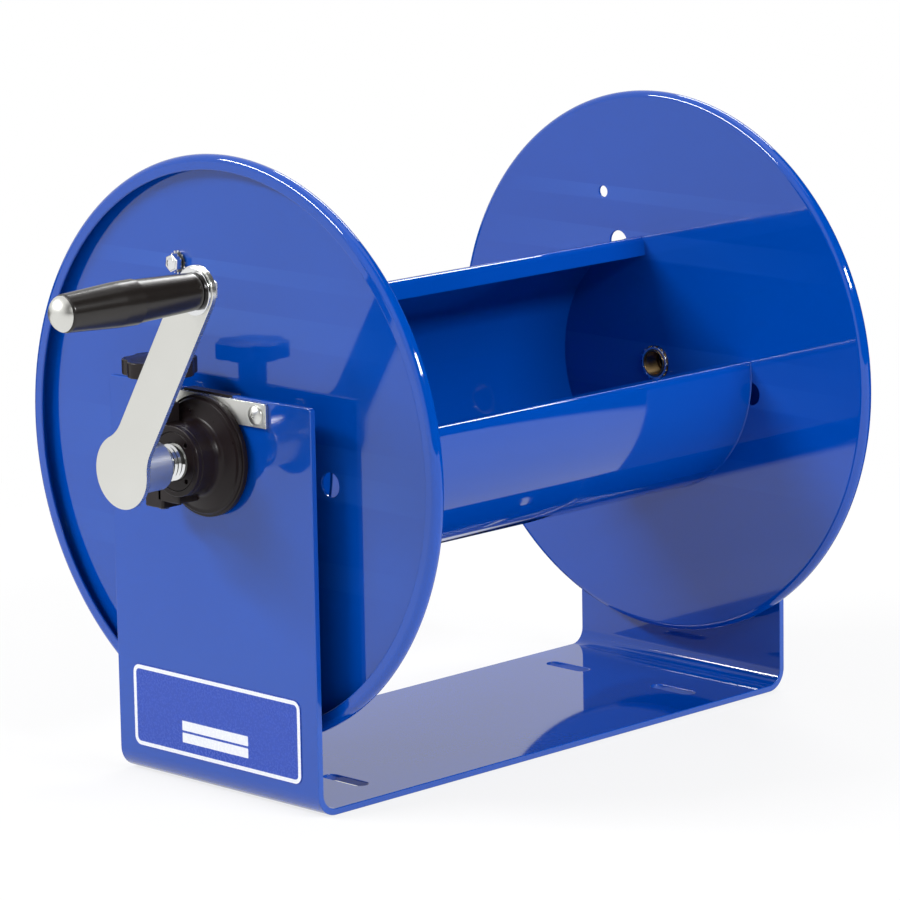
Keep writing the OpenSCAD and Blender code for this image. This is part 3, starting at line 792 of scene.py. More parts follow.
# %% [markdown]
# The slab is now sliced across both bend zones, and each point is carried round the bend with the way
# it faces. That keeps the holes' round edges and gives both legs the same true radius.

# %% Bent stand
def cut_across(mesh, places):
    """Slices a mesh with upright planes across X. The facing attribute is carried to the cuts."""
    shape = bmesh.new()
    shape.from_mesh(mesh)
    for x in places:
        everything = shape.verts[:] + shape.edges[:] + shape.faces[:]
        bmesh.ops.bisect_plane(shape, geom=everything, plane_co=(x, 0, 0), plane_no=(1, 0, 0),
                               dist=NEARLY_ZERO)
    shape.to_mesh(mesh)
    shape.free()


def bend_up(mesh):
    """Carries each point, and the way it faces, round the two bends."""
    points = np.array([v.co for v in mesh.vertices])
    facing = np.array([c.vector for c in mesh.attributes["facing"].data])
    facing /= np.linalg.norm(facing, axis=1)[:, None]
    owner = np.array([loop.vertex_index for loop in mesh.loops])
    side = np.sign(points[:, 0])
    outward = abs(points[:, 0])
    angle = np.clip((outward - FLAT_HALF) / BEND_ALONG, 0, 1) * math.pi / 2
    reach = BEND - points[:, 2]
    x = np.minimum(outward, FLAT_HALF) + reach * np.sin(angle)
    z = BEND - reach * np.cos(angle) + np.maximum(outward - LEG_START, 0)
    bent = np.stack([x * side, points[:, 1], z], 1)
    a, s = angle[owner], side[owner]
    out = facing[:, 0] * s
    nx = out * np.cos(a) - facing[:, 2] * np.sin(a)
    nz = out * np.sin(a) + facing[:, 2] * np.cos(a)
    mesh.attributes.remove(mesh.attributes["facing"])
    mesh.vertices.foreach_set("co", bent.ravel())
    mesh.update()
    square_on = [max(abs(c) for c in face.normal) > 0.9999 for face in mesh.polygons]
    mesh.polygons.foreach_set("use_smooth", [not flat for flat in square_on])
    mesh.normals_split_custom_set(np.stack([nx * s, facing[:, 1], nz], 1).tolist())


def make_stand():
    pattern = flat_pattern()
    mesh = pattern.mesh("stand_plate")
    mesh.transform(Matrix.Scale(1 / MM, 4))
    facing = mesh.attributes.new("facing", "FLOAT_VECTOR", "CORNER")
    facing.data.foreach_set("vector", np.array(pattern.facing).ravel())
    steps = np.linspace(FLAT_HALF, LEG_START, 13)
    cut_across(mesh, [s * side for s in steps for side in (-1, 1)])
    bend_up(mesh)
    mesh.transform(Matrix.Scale(MM, 4))
    return show("stand_plate", mesh, BLUE_PAINT, "frame", "blue_paint", "stand")


stand = make_stand()
print("stand height (mm):", round(max(v.co.z for v in stand.data.vertices) / MM, 1))

# %% [markdown]
# ## Discs
# Each disc is spun from sheet, and its edge is folded back on itself, so that hands and hose never
# meet a raw edge. The flat part has a bolt hole and three tooling holes, which a spun outline can't
# have. So the flat area is a filled ring with holes, and the folded rim is spun from the same points.

# %% Discs
DISC, DISC_RADIUS, RIM_DEPTH, RIM_LIP = 1.5, 151.8, 7.7, 4.0
CRANK_DISC, INLET_DISC = 19.0, 21.4
FOLD = RIM_DEPTH / 2
FLAT_RADIUS = DISC_RADIUS - FOLD
DISC_POINTS = 256
BOLT_TURN, BOLT_REACH = 22.5, 100.6
TOOLING_REACH, TOOLING_RADIUS = 71.0, 6.35


def rim_outline():
    """The folded rim in (height, radius), from the flat's outer face round to its drum side."""
    centre, lip_at = (FOLD, FLAT_RADIUS), FLAT_RADIUS - RIM_LIP + DISC / 2
    inner = arc(centre, DISC - FOLD, 180, 0, 12)
    tip = arc((RIM_DEPTH - DISC / 2, lip_at), DISC / 2, 180, 360, 8)
    outer = arc(centre, FOLD, 0, 180, 26)
    points, facing = (np.concatenate(part) for part in zip(inner, tip, outer))
    return Outline(points, facing)


def disc_holes(flip):
    holes = [ring(9.7).reversed()]
    spots = [(BOLT_REACH, 0, 3.2)] + [(TOOLING_REACH, k * 120, TOOLING_RADIUS) for k in range(3)]
    for reach, turn, radius in spots:
        a = math.radians(BOLT_TURN) - math.radians(turn)
        centre = (flip * reach * math.sin(a), reach * math.cos(a))
        holes.append(ring(radius, 40, centre).reversed())
    return holes


def make_disc(name, node, side, depth, flip):
    shape, edge = Shape(), 0.3
    near = edge * 0.3
    levels = [(0, edge, -1, 0), (near, near, -0.7, 0.7), (edge, 0, 0, 1),
              (DISC - edge, 0, 0, 1), (DISC - near, near, 0.7, 0.7), (DISC, edge, 1, 0)]
    caps_low, caps_high = [], []
    for hole in disc_holes(flip):
        low, high = shape.wall(hole, levels, 1.0)
        caps_low.append((low, hole.inset(edge)))
        caps_high.append((high, hole.inset(edge)))
    outline = rim_outline()
    first = len(shape.points)
    last = first + (len(outline) - 1) * DISC_POINTS
    shape.spin(outline, DISC_POINTS, closed=False)
    rim_flat = ring(FLAT_RADIUS, DISC_POINTS).points
    shape.fill([(last, rim_flat), *caps_low], -1.0)
    shape.fill([(first, rim_flat), *caps_high], 1.0)
    return show(name, shape.mesh(name, along(side, -depth)), BLUE_PAINT, "reel", "blue_paint", node)


make_disc("crank_disc", "crank_side_disc", CRANK_SIDE, CRANK_DISC, -1)
make_disc("inlet_disc", "inlet_side_disc", INLET_SIDE, INLET_DISC, 1)

# %% [markdown]
# ## Drum
# The drum is a sheet rolled most of the way round. Along its open slot both edges are turned in, so
# hose isn't cut by a raw edge. One path through the middle of the sheet describes it: lip, small bend,
# big bend, small bend, lip. Half a thickness to each side of the path lie the sheet's two faces.

# %% Drum
DRUM_RADIUS, DRUM_SHEET = 70.8, 1.5
LIP_BEND, LIP_END = 3.0, 60.4
SLOT_FROM, SLOT_TO = -6.6, 83.0


def direction(angle):
    """The way from the axle at an angle from straight up, as (toward -Y, up)."""
    a = math.radians(angle)
    return np.array([math.sin(a), math.cos(a)])


def drum_lip(angle, side, along_plane, sweep):
    """One turned-in edge, from its end to the drum's skin."""
    plane, into = direction(angle), side * direction(angle + 90)
    centre = plane * along_plane + into * LIP_BEND
    steps = [(plane * reach + into * DRUM_SHEET / 2, -into) for reach in (LIP_END, along_plane)]
    for k in range(1, 9):
        a = math.radians(sweep * k / 8)
        look = -into * math.cos(a) + plane * math.sin(a)
        steps.append((centre + look * (LIP_BEND - DRUM_SHEET / 2), look))
    return steps


def drum_outline():
    """The sheet's section: its outer face, then its inner face back again."""
    centre_reach = DRUM_RADIUS - LIP_BEND
    off = math.degrees(math.asin(LIP_BEND / centre_reach))
    along_plane = math.sqrt(centre_reach ** 2 - LIP_BEND ** 2)
    path = drum_lip(SLOT_FROM, -1, along_plane, 90 - off)
    for angle in np.linspace(SLOT_FROM - off, SLOT_TO + off - 360, 150)[1:-1]:
        path.append((direction(angle) * (DRUM_RADIUS - DRUM_SHEET / 2), direction(angle)))
    path += drum_lip(SLOT_TO, 1, along_plane, 90 - off)[::-1]
    points, facing = (np.array(part) for part in zip(*path))
    outside, inside = points + facing * DRUM_SHEET / 2, points - facing * DRUM_SHEET / 2
    return Outline(np.concatenate([outside, inside[::-1]]), np.concatenate([facing, -facing[::-1]]))


print("points on the drum's section:", len(drum_outline()))

# %% [markdown]
# The section is drawn out from disc to disc. Its edges stay square, as a sheared sheet's are, and the
# discs hide both ends.

# %% Drum sheet
def make_drum():
    """The outline drawn out from disc to disc, then mirrored, so its faces are turned over."""
    outline, shape = drum_outline(), Shape()
    starts = []
    for height in (CRANK_DISC - 2 * LEG_OUT, -INLET_DISC):
        starts.append(shape.add(np.column_stack([outline.points, np.full(len(outline), height)])))
    for i in range(len(outline)):
        j = (i + 1) % len(outline)
        a, b = outline.after[i], outline.before[j]
        step = outline.points[j] - outline.points[i]
        flat = np.array([step[1], -step[0]]) / np.hypot(*step)
        if flat @ a < 0.5:
            a = b = flat
        shape.face((starts[0] + i, starts[0] + j, starts[1] + j, starts[1] + i),
                   [(*a, 0.0), (*b, 0.0), (*b, 0.0), (*a, 0.0)])
    shape.fill([(starts[0], outline.points)], -1.0)
    shape.fill([(starts[1], outline.points)], 1.0)
    shape.turn_over()
    mirrored = INLET_SIDE @ Matrix.Scale(-1, 4, (1, 0, 0))
    return show("drum_sheet", shape.mesh("drum_sheet", mirrored), BLUE_PAINT, "reel", "blue_paint",
                "drum_shell")


make_drum()

# %% [markdown]
# ## Bearings
# Black moulded blocks fill the notches and hold the axle. On the crank side a flange covers the notch,
# and a nose carries the shaft. Spinning one outline gives the stepped rim, the hollow flare and the
# nose in one go. A slit column beside the nose is squeezed by the brake's screw.

# %% Bearings
BORE, NECK, BLOCK_TOP = 9.55, 18.3, 32.6
PIN_REACH, PIN_TURN, PIN_RADIUS = 12.556, 47, 1.3


def bearing_block():
    """What fills the leg's notch: the block, its neck and the flange on the inside face."""
    sides = [(NECK, 0), (NECK, BLOCK_TOP), (-NECK, BLOCK_TOP), (-NECK, 0), (-NECK, -NECK), (NECK, -NECK)]
    outline = eased(sides, [0, 0.8, 0.8, 0, NECK - 0.01, NECK - 0.01], 16)
    shape = Shape().slab(outline, -6.5, -0.05, 0.3, [ring(BORE).reversed()])
    shape.spin(eased(block(-0.4, BORE, 2.4, NECK), 0.1))
    return shape.spin(eased(block(-6.5, BORE, -3.55, 25), 0.4))


def nose_outline():
    corners = [(2.1, BORE), (21.8, BORE), (21.8, 15.3), (24.1, 15.3), (24.1, 18.3), (21.2, 18.3),
               (21.0, 17.8), (20.7, 18.35), (13.0, 18.6), (9.3, 19.4), (6.6, 27.4), (6.6, 29.4), (5.3, 30.3),
               (5.1, 29.5), (4.9, 31.5), (2.1, 31.5)]
    radii = [0.2, 0.2, 0.2, 0.35, 0.8, 0.1, 0.15, 0.3, 8, 3.5, 3.0, 0.6, 0.1, 0.1, 0.3, 0.3]
    return eased(corners, radii, 8)


def clamp_half(low, high, web_low, web_high):
    """Half of the column that the brake screw squeezes, and the web to the nose."""
    half = 6.9
    part = Shape().slab(eased(block(-half, -half, half, half), 1.5), low, high, 0.8,
                        [ring(3.4, 32).reversed()])
    return part.slab(eased(block(-half, -BRAKE_ACROSS, half, -3), 0.8), web_low, web_high, 0.8)


print("points on the nose's outline:", len(nose_outline()))

# %% [markdown]
# The nose has two small pin holes in its face, which a spun outline can't have, so its face is a ring
# of its own with holes. The inlet side needs only the flange.

# %% Both bearings
def make_crank_bearing():
    shape = bearing_block().spin(nose_outline(), 128)
    turns = (math.radians(PIN_TURN), math.radians(-PIN_TURN))
    pins = [ring(PIN_RADIUS, 24, (PIN_REACH * math.cos(a), PIN_REACH * math.sin(a))).reversed()
            for a in turns]
    shape.slab(ring(15.05, 64), 21.6, 23.9, 0.3, [ring(BORE + 0.2).reversed(), *pins])
    block_mesh = shape.mesh("crank_bearing", CRANK_SIDE)
    column = clamp_half(1.2, 26.8, 1.2, 17.4).mesh("column_top", BRAKE)
    foot = clamp_half(-26.8, -1.2, -22.8, -1.2).mesh("column_foot", BRAKE)
    show("crank_bearing", block_mesh, BLACK_PLASTIC, "frame", "black_plastic", "crank_side_bearing")
    show("clamp_column_top", column, BLACK_PLASTIC, "frame", "black_plastic")
    show("clamp_column_foot", foot, BLACK_PLASTIC, "frame", "black_plastic")


def make_inlet_bearing():
    flange = [(2.1, BORE), (6.6, BORE), (6.6, 29.4), (5.3, 30.3), (5.1, 29.5), (4.9, 31.5), (2.1, 31.5)]
    shape = bearing_block().spin(eased(flange, [0.2, 0.4, 0.6, 0.1, 0.1, 0.3, 0.3]), 128)
    show("inlet_bearing", shape.mesh("inlet_bearing", INLET_SIDE), BLACK_PLASTIC, "frame",
         "black_plastic", "inlet_side_bearing")


make_crank_bearing()
make_inlet_bearing()

# %% [markdown]
# ## Straps
# A zinc-plated strap closes each notch over the bearing. It is a stamped blank with two holes.

# %% Straps
STRAP_HALF_LONG, STRAP_HALF_WIDE, STRAP_THICK = 45, 6.35, 2.0


def make_strap(name, node, side):
    blank = block(-STRAP_HALF_LONG, -STRAP_HALF_WIDE, STRAP_HALF_LONG, STRAP_HALF_WIDE)
    holes = [ring(2.65, 24, (x, 0)).reversed() for x in (-SCREW_ACROSS, SCREW_ACROSS)]
    shape = Shape().slab(eased(blank, 0.8), 0.02, STRAP_THICK, 0.3, holes)
    mesh = shape.mesh(name, side @ Matrix.Translation((0, STRAP_MID, 0)))
    show(name, mesh, ZINC, "frame", "zinc_steel", node)


make_strap("crank_strap", "crank_side_strap", CRANK_SIDE)
make_strap("inlet_strap", "inlet_side_strap", INLET_SIDE)

# %% [markdown]
# ## Geometry Nodes for what repeats
# Screws, nuts, washer teeth and threads repeat, and a weld follows a path. A small Geometry Nodes tree
# places or sweeps each of them, and its inputs have names, so one tree serves several parts. The
# result is turned into a plain mesh at once, because an export keeps meshes but not modifiers.

# %% Geometry Nodes for what repeats
class Recipe(Tree):
    """A Geometry Nodes tree with named inputs."""

    def __init__(self, name, inputs):
        self.group = bpy.data.node_groups.new(name, "GeometryNodeTree")
        super().__init__(self.group)
        sides = self.group.interface
        for label, kind in inputs:
            sides.new_socket(label, in_out="INPUT", socket_type="NodeSocket" + kind)
        sides.new_socket("Geometry", in_out="OUTPUT", socket_type="NodeSocketGeometry")
        self.inputs = self.node("NodeGroupInput")

    def end(self, geometry, material):
        real = self.node("GeometryNodeRealizeInstances", None, {"Geometry": geometry})
        painted = self.node("GeometryNodeSetMaterial", None,
                            {"Geometry": real["Geometry"], "Material": material})
        self.node("NodeGroupOutput", None, {"Geometry": painted["Geometry"]})

    def run(self, name, values, start=None):
        """Runs the tree on start, or on an empty mesh, and returns the plain mesh."""
        holder = bpy.data.objects.new(name, start or bpy.data.meshes.new(name))
        bpy.context.scene.collection.objects.link(holder)
        modifier = holder.modifiers.new(name, "NODES")
        modifier.node_group = self.group
        sockets = {s.name: s.identifier for s in self.group.interface.items_tree if s.in_out == "INPUT"}
        for label, value in values.items():
            modifier[sockets[label]] = value
        seen = holder.evaluated_get(bpy.context.evaluated_depsgraph_get())
        mesh = bpy.data.meshes.new_from_object(seen)
        bpy.data.objects.remove(holder)
        return mesh


def sized_recipe(name, *sizes):
    """A recipe whose inputs are a number for each size, and a finish."""
    numbers = [(size, "Int" if size == "Count" else "Float") for size in sizes]
    recipe = Recipe(name, [("Geometry", "Geometry"), *numbers, ("Material", "Material")])
    return recipe, recipe.inputs


print("defined: recipes that end as plain meshes")

# %% [markdown]
# A toothed washer has its teeth at equal steps round a circle. Each tooth is a small block that leans
# outward and is twisted about its own length, as the real ones are to bite into the sheet.

# %% Teeth
def teeth_recipe():
    recipe, given = sized_recipe("teeth_round_a_ring", "Count", "Radius", "Long", "Wide", "Thick", "Twist")
    circle = recipe.node("GeometryNodeCurvePrimitiveCircle", None,
                         {"Resolution": given["Count"], "Radius": given["Radius"]})
    stops = recipe.node("GeometryNodeCurveToPoints", {"mode": "EVALUATED"}, {"Curve": circle["Curve"]})
    size = recipe.node("ShaderNodeCombineXYZ", None,
                       {"X": given["Wide"], "Y": given["Thick"], "Z": given["Long"]})
    tooth = recipe.node("GeometryNodeMeshCube", None, {"Size": size["Vector"]})
    out = recipe.node("GeometryNodeInputPosition")["Position"]
    lean = recipe.node("FunctionNodeAlignRotationToVector", {"axis": "Z", "pivot_axis": "AUTO"},
                       {"Vector": out})
    spin = recipe.node("FunctionNodeAxisAngleToRotation", None, {"Axis": (0, 0, 1), "Angle": given["Twist"]})
    turned = recipe.node("FunctionNodeRotateRotation", {"rotation_space": "LOCAL"},
                         {"Rotation": lean["Rotation"], "Rotate By": spin["Rotation"]})
    placed = recipe.node("GeometryNodeInstanceOnPoints", None,
                         {"Points": stops["Points"], "Instance": tooth["Mesh"],
                          "Rotation": turned["Rotation"]})
    recipe.end(placed["Instances"], given["Material"])
    return recipe


TEETH = teeth_recipe()
print("recipe:", TEETH.group.name)

# %% [markdown]
# A thread is a ridge with four sides, swept along a spiral. A weld is a round bead swept along an arc.
# The two trees differ only in their path, so they share the step that sweeps.

# %% Threads and welds
def sweep_along(recipe, path, sides, radius, material):
    profile = recipe.node("GeometryNodeCurvePrimitiveCircle", None, {"Resolution": sides, "Radius": radius})
    swept = recipe.node("GeometryNodeCurveToMesh", None,
                        {"Curve": path["Curve"], "Profile Curve": profile["Curve"], "Fill Caps": True})
    recipe.end(swept["Mesh"], material)
    return recipe


def thread_recipe():
    recipe, given = sized_recipe("helical_thread", "Radius", "Pitch", "Turns", "Ridge")
    path = recipe.node("GeometryNodeCurveSpiral", None,
                       {"Resolution": 48, "Rotations": given["Turns"], "Start Radius": given["Radius"],
                        "End Radius": given["Radius"], "Height": given["Turns"] * given["Pitch"]})
    upright = recipe.node("GeometryNodeSetCurveNormal", {"mode": "Z_UP"}, {"Curve": path["Curve"]})
    return sweep_along(recipe, upright, 4, given["Ridge"], given["Material"])


def weld_recipe():
    recipe, given = sized_recipe("weld_bead", "Radius", "Start", "Sweep", "Bead")
    path = recipe.node("GeometryNodeCurveArc", {"mode": "RADIUS"},
                       {"Resolution": 160, "Radius": given["Radius"], "Start Angle": given["Start"],
                        "Sweep Angle": given["Sweep"]})
    return sweep_along(recipe, path, 12, given["Bead"], given["Material"])


THREAD, WELD = thread_recipe(), weld_recipe()
print("recipes:", THREAD.group.name, WELD.group.name)

# %% [markdown]
# Screws and nuts are one part set at several points. The part is drawn once in millimetres, and two
# helpers finish such meshes: one moves them to their place and one keeps only real folds sharp.

# %% Copies
def copies_recipe():
    recipe = Recipe("copies_at_points", [("Geometry", "Geometry"), ("Part", "Object"),
                                         ("Material", "Material")])
    given = recipe.inputs
    part = recipe.node("GeometryNodeObjectInfo", None, {"Object": given["Part"]})
    points = recipe.node("GeometryNodeMeshToPoints", None, {"Mesh": given["Geometry"]})
    placed = recipe.node("GeometryNodeInstanceOnPoints", None,
                         {"Points": points["Points"], "Instance": part["Geometry"]})
    recipe.end(placed["Instances"], given["Material"])
    return recipe


COPIES = copies_recipe()


def soften(mesh, degrees=38):
    """Smooth faces with sharp edges only where they really fold."""
    mesh.polygons.foreach_set("use_smooth", [True] * len(mesh.polygons))
    mesh.set_sharp_from_angle(angle=math.radians(degrees))
    return mesh


def place_mm(mesh, place):
    """Moves a mesh drawn in millimetres to its place, in metres."""
    mesh.transform(place)
    mesh.transform(Matrix.Scale(MM, 4))
    return mesh


def in_mm(mesh):
    """A mesh in metres drawn up to millimetres again, for more work on it."""
    mesh.transform(Matrix.Scale(1 / MM, 4))
    return mesh


print("recipe:", COPIES.group.name)

# %% [markdown]
# ## Strap screws and nuts
# The screws have low round heads with a cross recess. One screw is spun, and its recess is cut by a
# boolean, which suits a shape that no outline has.

# %% Strap screws and nuts
def cut(name, body_mesh, tool_meshes):
    """body_mesh with the tools' volume taken out."""
    body = bpy.data.objects.new(name, body_mesh)
    bpy.context.scene.collection.objects.link(body)
    tools = []
    for number, tool_mesh in enumerate(tool_meshes):
        tool = bpy.data.objects.new(f"{name}_tool_{number}", tool_mesh)
        bpy.context.scene.collection.objects.link(tool)
        modifier = body.modifiers.new(tool.name, "BOOLEAN")
        modifier.operation, modifier.solver, modifier.object = "DIFFERENCE", "EXACT", tool
        tools.append(tool)
    result = bpy.data.meshes.new_from_object(body.evaluated_get(bpy.context.evaluated_depsgraph_get()))
    for thing in (body, *tools):
        bpy.data.objects.remove(thing)
    return result


def screw_mesh():
    """A low round head on a plain shank, with two crossed slots cut in the head."""
    dome, _ = arc((-2.508, 0), 7.108, 0.4, 44.4, 10)
    crown = [tuple(point) for point in dome[1:]]
    corners = [(-8.4, 0), (4.6, 0), *crown, (2.05, 5.0), (2.05, 2.5), (-8.0, 2.5), (-8.4, 2.2)]
    radii = [0, 0, *[0] * len(crown), 0.15, 0.15, 0.1, 0.1]
    head = in_mm(Shape().spin(eased(corners, radii), 48).mesh("screw"))
    bar = eased(block(-1.5, -0.38, 1.5, 0.38), 0.15)
    slots = [in_mm(Shape().slab(bar.turned(turn), 3.7, 6.0, 0.1).mesh("recess")) for turn in (20, 110)]
    return soften(cut("screw", head, slots), 30)


print("defined: one strap screw")

# %% [markdown]
# A nut is a hexagon with a hole and round edges. The copies recipe then sets a screw at each hole of a
# strap, and a nut behind it on the inside of the leg.

# %% Nuts and both straps' sets
def hexagon(across_flats):
    reach = across_flats / math.sqrt(3)
    return [(reach * math.cos(math.radians(60 * k)), reach * math.sin(math.radians(60 * k)))
            for k in range(6)]


def nut_mesh(across_flats, height, bore):
    outline = eased(hexagon(across_flats), 0.3)
    return in_mm(Shape().slab(outline, 0, height, 0.5, [ring(bore, 32).reversed()]).mesh("nut"))


def set_out(name, side, part_mesh, height, slot):
    """A zinc-plated copy of the part at both screw places of a strap."""
    points = bpy.data.meshes.new("screw_places")
    points.from_pydata([(x, STRAP_MID, height) for x in (-SCREW_ACROSS, SCREW_ACROSS)], [], [])
    part = bpy.data.objects.new("part", part_mesh)
    bpy.context.scene.collection.objects.link(part)
    mesh = COPIES.run(name, {"Part": part, "Material": ZINC}, points)
    bpy.data.objects.remove(part)
    show(name, place_mm(mesh, side), ZINC, "frame", slot, name.replace("_strap", "_side_strap"))


for label, side in (("crank", CRANK_SIDE), ("inlet", INLET_SIDE)):
    set_out(f"{label}_strap_screws", side, screw_mesh(), 0, "bright_steel")
    set_out(f"{label}_strap_nuts", side, nut_mesh(8, 4, 2.55), -7.5, "zinc_steel")

# %% [markdown]
# ## Drag brake
# The knob tightens a long screw through the slit column, which then grips the shaft. A wavy outline,
# higher at seven lobes, is given thickness and a crowned top; the stem below it is spun.

# %% Drag brake
def lobed(count, valley, lobe, points=168):
    """A smooth outline with rounded lobes and narrower valleys."""
    angles = np.linspace(0, 2 * math.pi, points, endpoint=False)
    wave = ((1 + np.cos(count * (angles + math.pi / count))) / 2) ** 0.55
    radius = valley + (lobe - valley) * wave
    xy = np.stack([radius * np.cos(angles), radius * np.sin(angles)], 1)
    step = np.roll(xy, -1, axis=0) - np.roll(xy, 1, axis=0)
    facing = np.stack([step[:, 1], -step[:, 0]], 1) / np.hypot(*step.T)[:, None]
    return Outline(xy, facing)


KNOB_LOW, KNOB_HIGH, KNOB_VALLEY, KNOB_LOBE = 41.4, 49.7, 17.0, 19.6
COLUMN_TOP, WASHER_TOP = 26.8, 28.2


def make_knob():
    knob = Shape().slab(lobed(7, KNOB_VALLEY, KNOB_LOBE), KNOB_LOW, KNOB_HIGH, 0.8, steps=5)
    crown = [(49.0, 0), (50.9, 0), (50.7, 8.0), (KNOB_HIGH, 15.5), (49.0, 15.5)]
    knob.spin(eased(crown, [0, 0, 5, 0.6, 0.1], 8))
    stem = [(WASHER_TOP, 3.2), (48.0, 3.2), (48.0, 9.0), (41.6, 9.0), (40.2, 7.5), (WASHER_TOP, 7.5)]
    knob.spin(eased(stem, [0.2, 0.2, 0.2, 0.3, 1.2, 0.6]), 64)
    show("knob", knob.mesh("knob", BRAKE), BLACK_PLASTIC, "brake_handle", "black_plastic", "brake_knob")


def make_brake_hardware():
    spin_piece("knob_washer", "brake_washer", BRAKE, block(COLUMN_TOP, 3.2, WASHER_TOP, 7.5), 0.25,
               "frame", "zinc_steel", count=64)
    stud = [(-28.3, 0), (46.7, 0), (46.7, 3.1), (-27.8, 3.1), (-28.3, 2.6)]
    spin_piece("brake_stud", "brake_screw", BRAKE, stud, [0, 0, 0.1, 0.1, 0.1],
               "brake_handle", "zinc_steel", DARK_ZINC)
    nut = place_mm(nut_mesh(11.1, 5.5, 3.15), along(BRAKE, -COLUMN_TOP))
    show("clamp_nut", nut, DARK_ZINC, "frame", "zinc_steel", "brake_nut")


make_knob()
make_brake_hardware()

# %% [markdown]
# ## Crank shaft and collar
# The shaft is plain in its bearing and threaded in front of it, up to the collar that the arm is
# welded to. The thread is a true helix: a four-sided ridge swept along a spiral, half sunk in the core.

# %% Crank shaft and collar
SHAFT, THREAD_ROOT, THREAD_MIDDLE = 9.5, 8.4, 8.55
COLLAR_IN, ARM_IN, ARM_OUT = 35.3, 56.6, 59.6


def make_shaft():
    core = [(-33.5, 0), (37.2, 0), (37.2, THREAD_ROOT), (24.1, THREAD_ROOT), (23.6, SHAFT),
            (-32.5, SHAFT), (-33.5, 8.5)]
    spin_piece("shaft", "crank_shaft", CRANK_SIDE, core, [0, 0, 0.1, 0.1, 0.2, 0.2, 0.2],
               "reel", "bright_steel", DARK_ZINC)
    winding = {"Radius": THREAD_MIDDLE, "Pitch": 2.54, "Turns": 4.4, "Ridge": SHAFT - THREAD_MIDDLE,
               "Material": BRIGHT}
    ridge = place_mm(THREAD.run("shaft_thread", winding), along(CRANK_SIDE, 24.9))
    show("shaft_thread", soften(ridge), BRIGHT, "reel", "bright_steel")
    spin_piece("collar", "crank_collar", CRANK_SIDE, block(COLLAR_IN, 8.2, ARM_IN, 12.7),
               [0.8, 0.1, 0.1, 0.9], "reel", "bright_steel", ZINC)


make_shaft()

# %% [markdown]
# Inside the drum a plate, a washer and a large nut clamp the shaft to the crank's disc, and a spacer
# keeps the disc clear of the bearing. They are plain rings, so each is one spun rectangle.

# %% Hub
def make_hub():
    spin_piece("hub", "hub_plate", CRANK_SIDE, block(-17.5, BORE, -14.5, 28), 0.5, "reel", "blue_paint")
    spin_piece("spacer_near", "crank_side_spacer", CRANK_SIDE, block(-14.5, BORE, -6.8, 13), 0.4,
               "reel", "zinc_steel")
    spin_piece("lock_washer", "shaft_lock_washer", CRANK_SIDE, block(-21, BORE, -19, 15.5), 0.3,
               "reel", "zinc_steel")
    nut = place_mm(nut_mesh(28.6, 10, BORE), along(CRANK_SIDE, -31))
    show("lock_nut", nut, ZINC, "reel", "zinc_steel", "shaft_lock_nut")


make_hub()

# %% [markdown]
# ## Crank arm
# The arm is a flat bar with a wide round end at the shaft and a round end at the grip. Two hollow arcs
# blend the wide end into the bar. The outline is four arcs, joined where they share a tangent.

# %% Crank arm
ARM_HUB, ARM_HALF, ARM_BLEND = 19.0, 12.7, 20.0


def arm_outline():
    side = ARM_HALF + ARM_BLEND
    reach = math.sqrt((ARM_HUB + ARM_BLEND) ** 2 - side ** 2)
    meet = math.degrees(math.atan2(reach, side))
    return joined(arc((0, 0), ARM_HUB, 180 - meet, 360 + meet, 72),
                  arc((side, reach), -ARM_BLEND, 180 + meet, 180, 12),
                  arc((0, CRANK_REACH), ARM_HALF, 0, 180, 36),
                  arc((-side, reach), -ARM_BLEND, 0, -meet, 12))


def make_arm():
    hole = ring(4.1, 32, (0, CRANK_REACH)).reversed()
    mesh = Shape().slab(arm_outline(), ARM_IN, ARM_OUT, 0.4, [hole]).mesh("arm", CRANK_TURN)
    show("arm", mesh, ZINC, "reel", "zinc_steel", "crank_arm")


make_arm()

# %% [markdown]
# ## Hand grip and its spindle
# The grip is moulded in two tapers that meet at a small step, and turns loosely on a long screw. It is
# spun about the spindle's line, like everything on it.

# %% Hand grip and its spindle
GRIP_IN, GRIP_OUT = 63.2, 144.6
GRIP_SEAM = GRIP_IN + (GRIP_OUT - GRIP_IN) * 0.45
SKIRT = GRIP_IN - 1.8


def make_grip():
    corners = [(GRIP_IN, 4.05), (GRIP_OUT, 4.05), (GRIP_OUT, 8.3), (GRIP_OUT - 0.8, 9.35),
               (GRIP_SEAM + 12, 11.15), (GRIP_SEAM + 0.4, 11.3), (GRIP_SEAM, 10.75),
               (SKIRT + 1.2, 9.45), (SKIRT, 9.0), (SKIRT, 7.8), (GRIP_IN, 7.8)]
    radii = [0.2, 0.2, 0.8, 1.2, 30, 0.25, 0.2, 0.8, 0.4, 0.2, 0.1]
    mesh = Shape().spin(eased(corners, radii, 8)).mesh("grip", SPINDLE)
    show("grip", mesh, GRIP_PLASTIC, "grip", "black_plastic", "hand_grip")


make_grip()

# %% [markdown]
# The spindle's head is a dome, the cap of a ball whose radius follows from its width and height. The
# outline's points there face the average of their two sides, so that the dome shines evenly.

# %% Spindle
HEAD_RADIUS, HEAD_HEIGHT = 8.8, 5.4


def smooth_outline(corners, fold=35):
    """An outline whose points face the average of their two sides, except at sharp folds."""
    corners = np.array(corners, float)
    step = np.roll(corners, -1, axis=0) - corners
    side = np.stack([step[:, 1], -step[:, 0]], 1) / np.hypot(*step.T)[:, None]
    back = np.roll(side, 1, axis=0)
    before, after = back.copy(), side.copy()
    soft = (back * side).sum(1) > math.cos(math.radians(fold))
    mean = back + side
    mean /= np.hypot(*mean.T)[:, None]
    before[soft] = after[soft] = mean[soft]
    return Outline(corners, before, after)


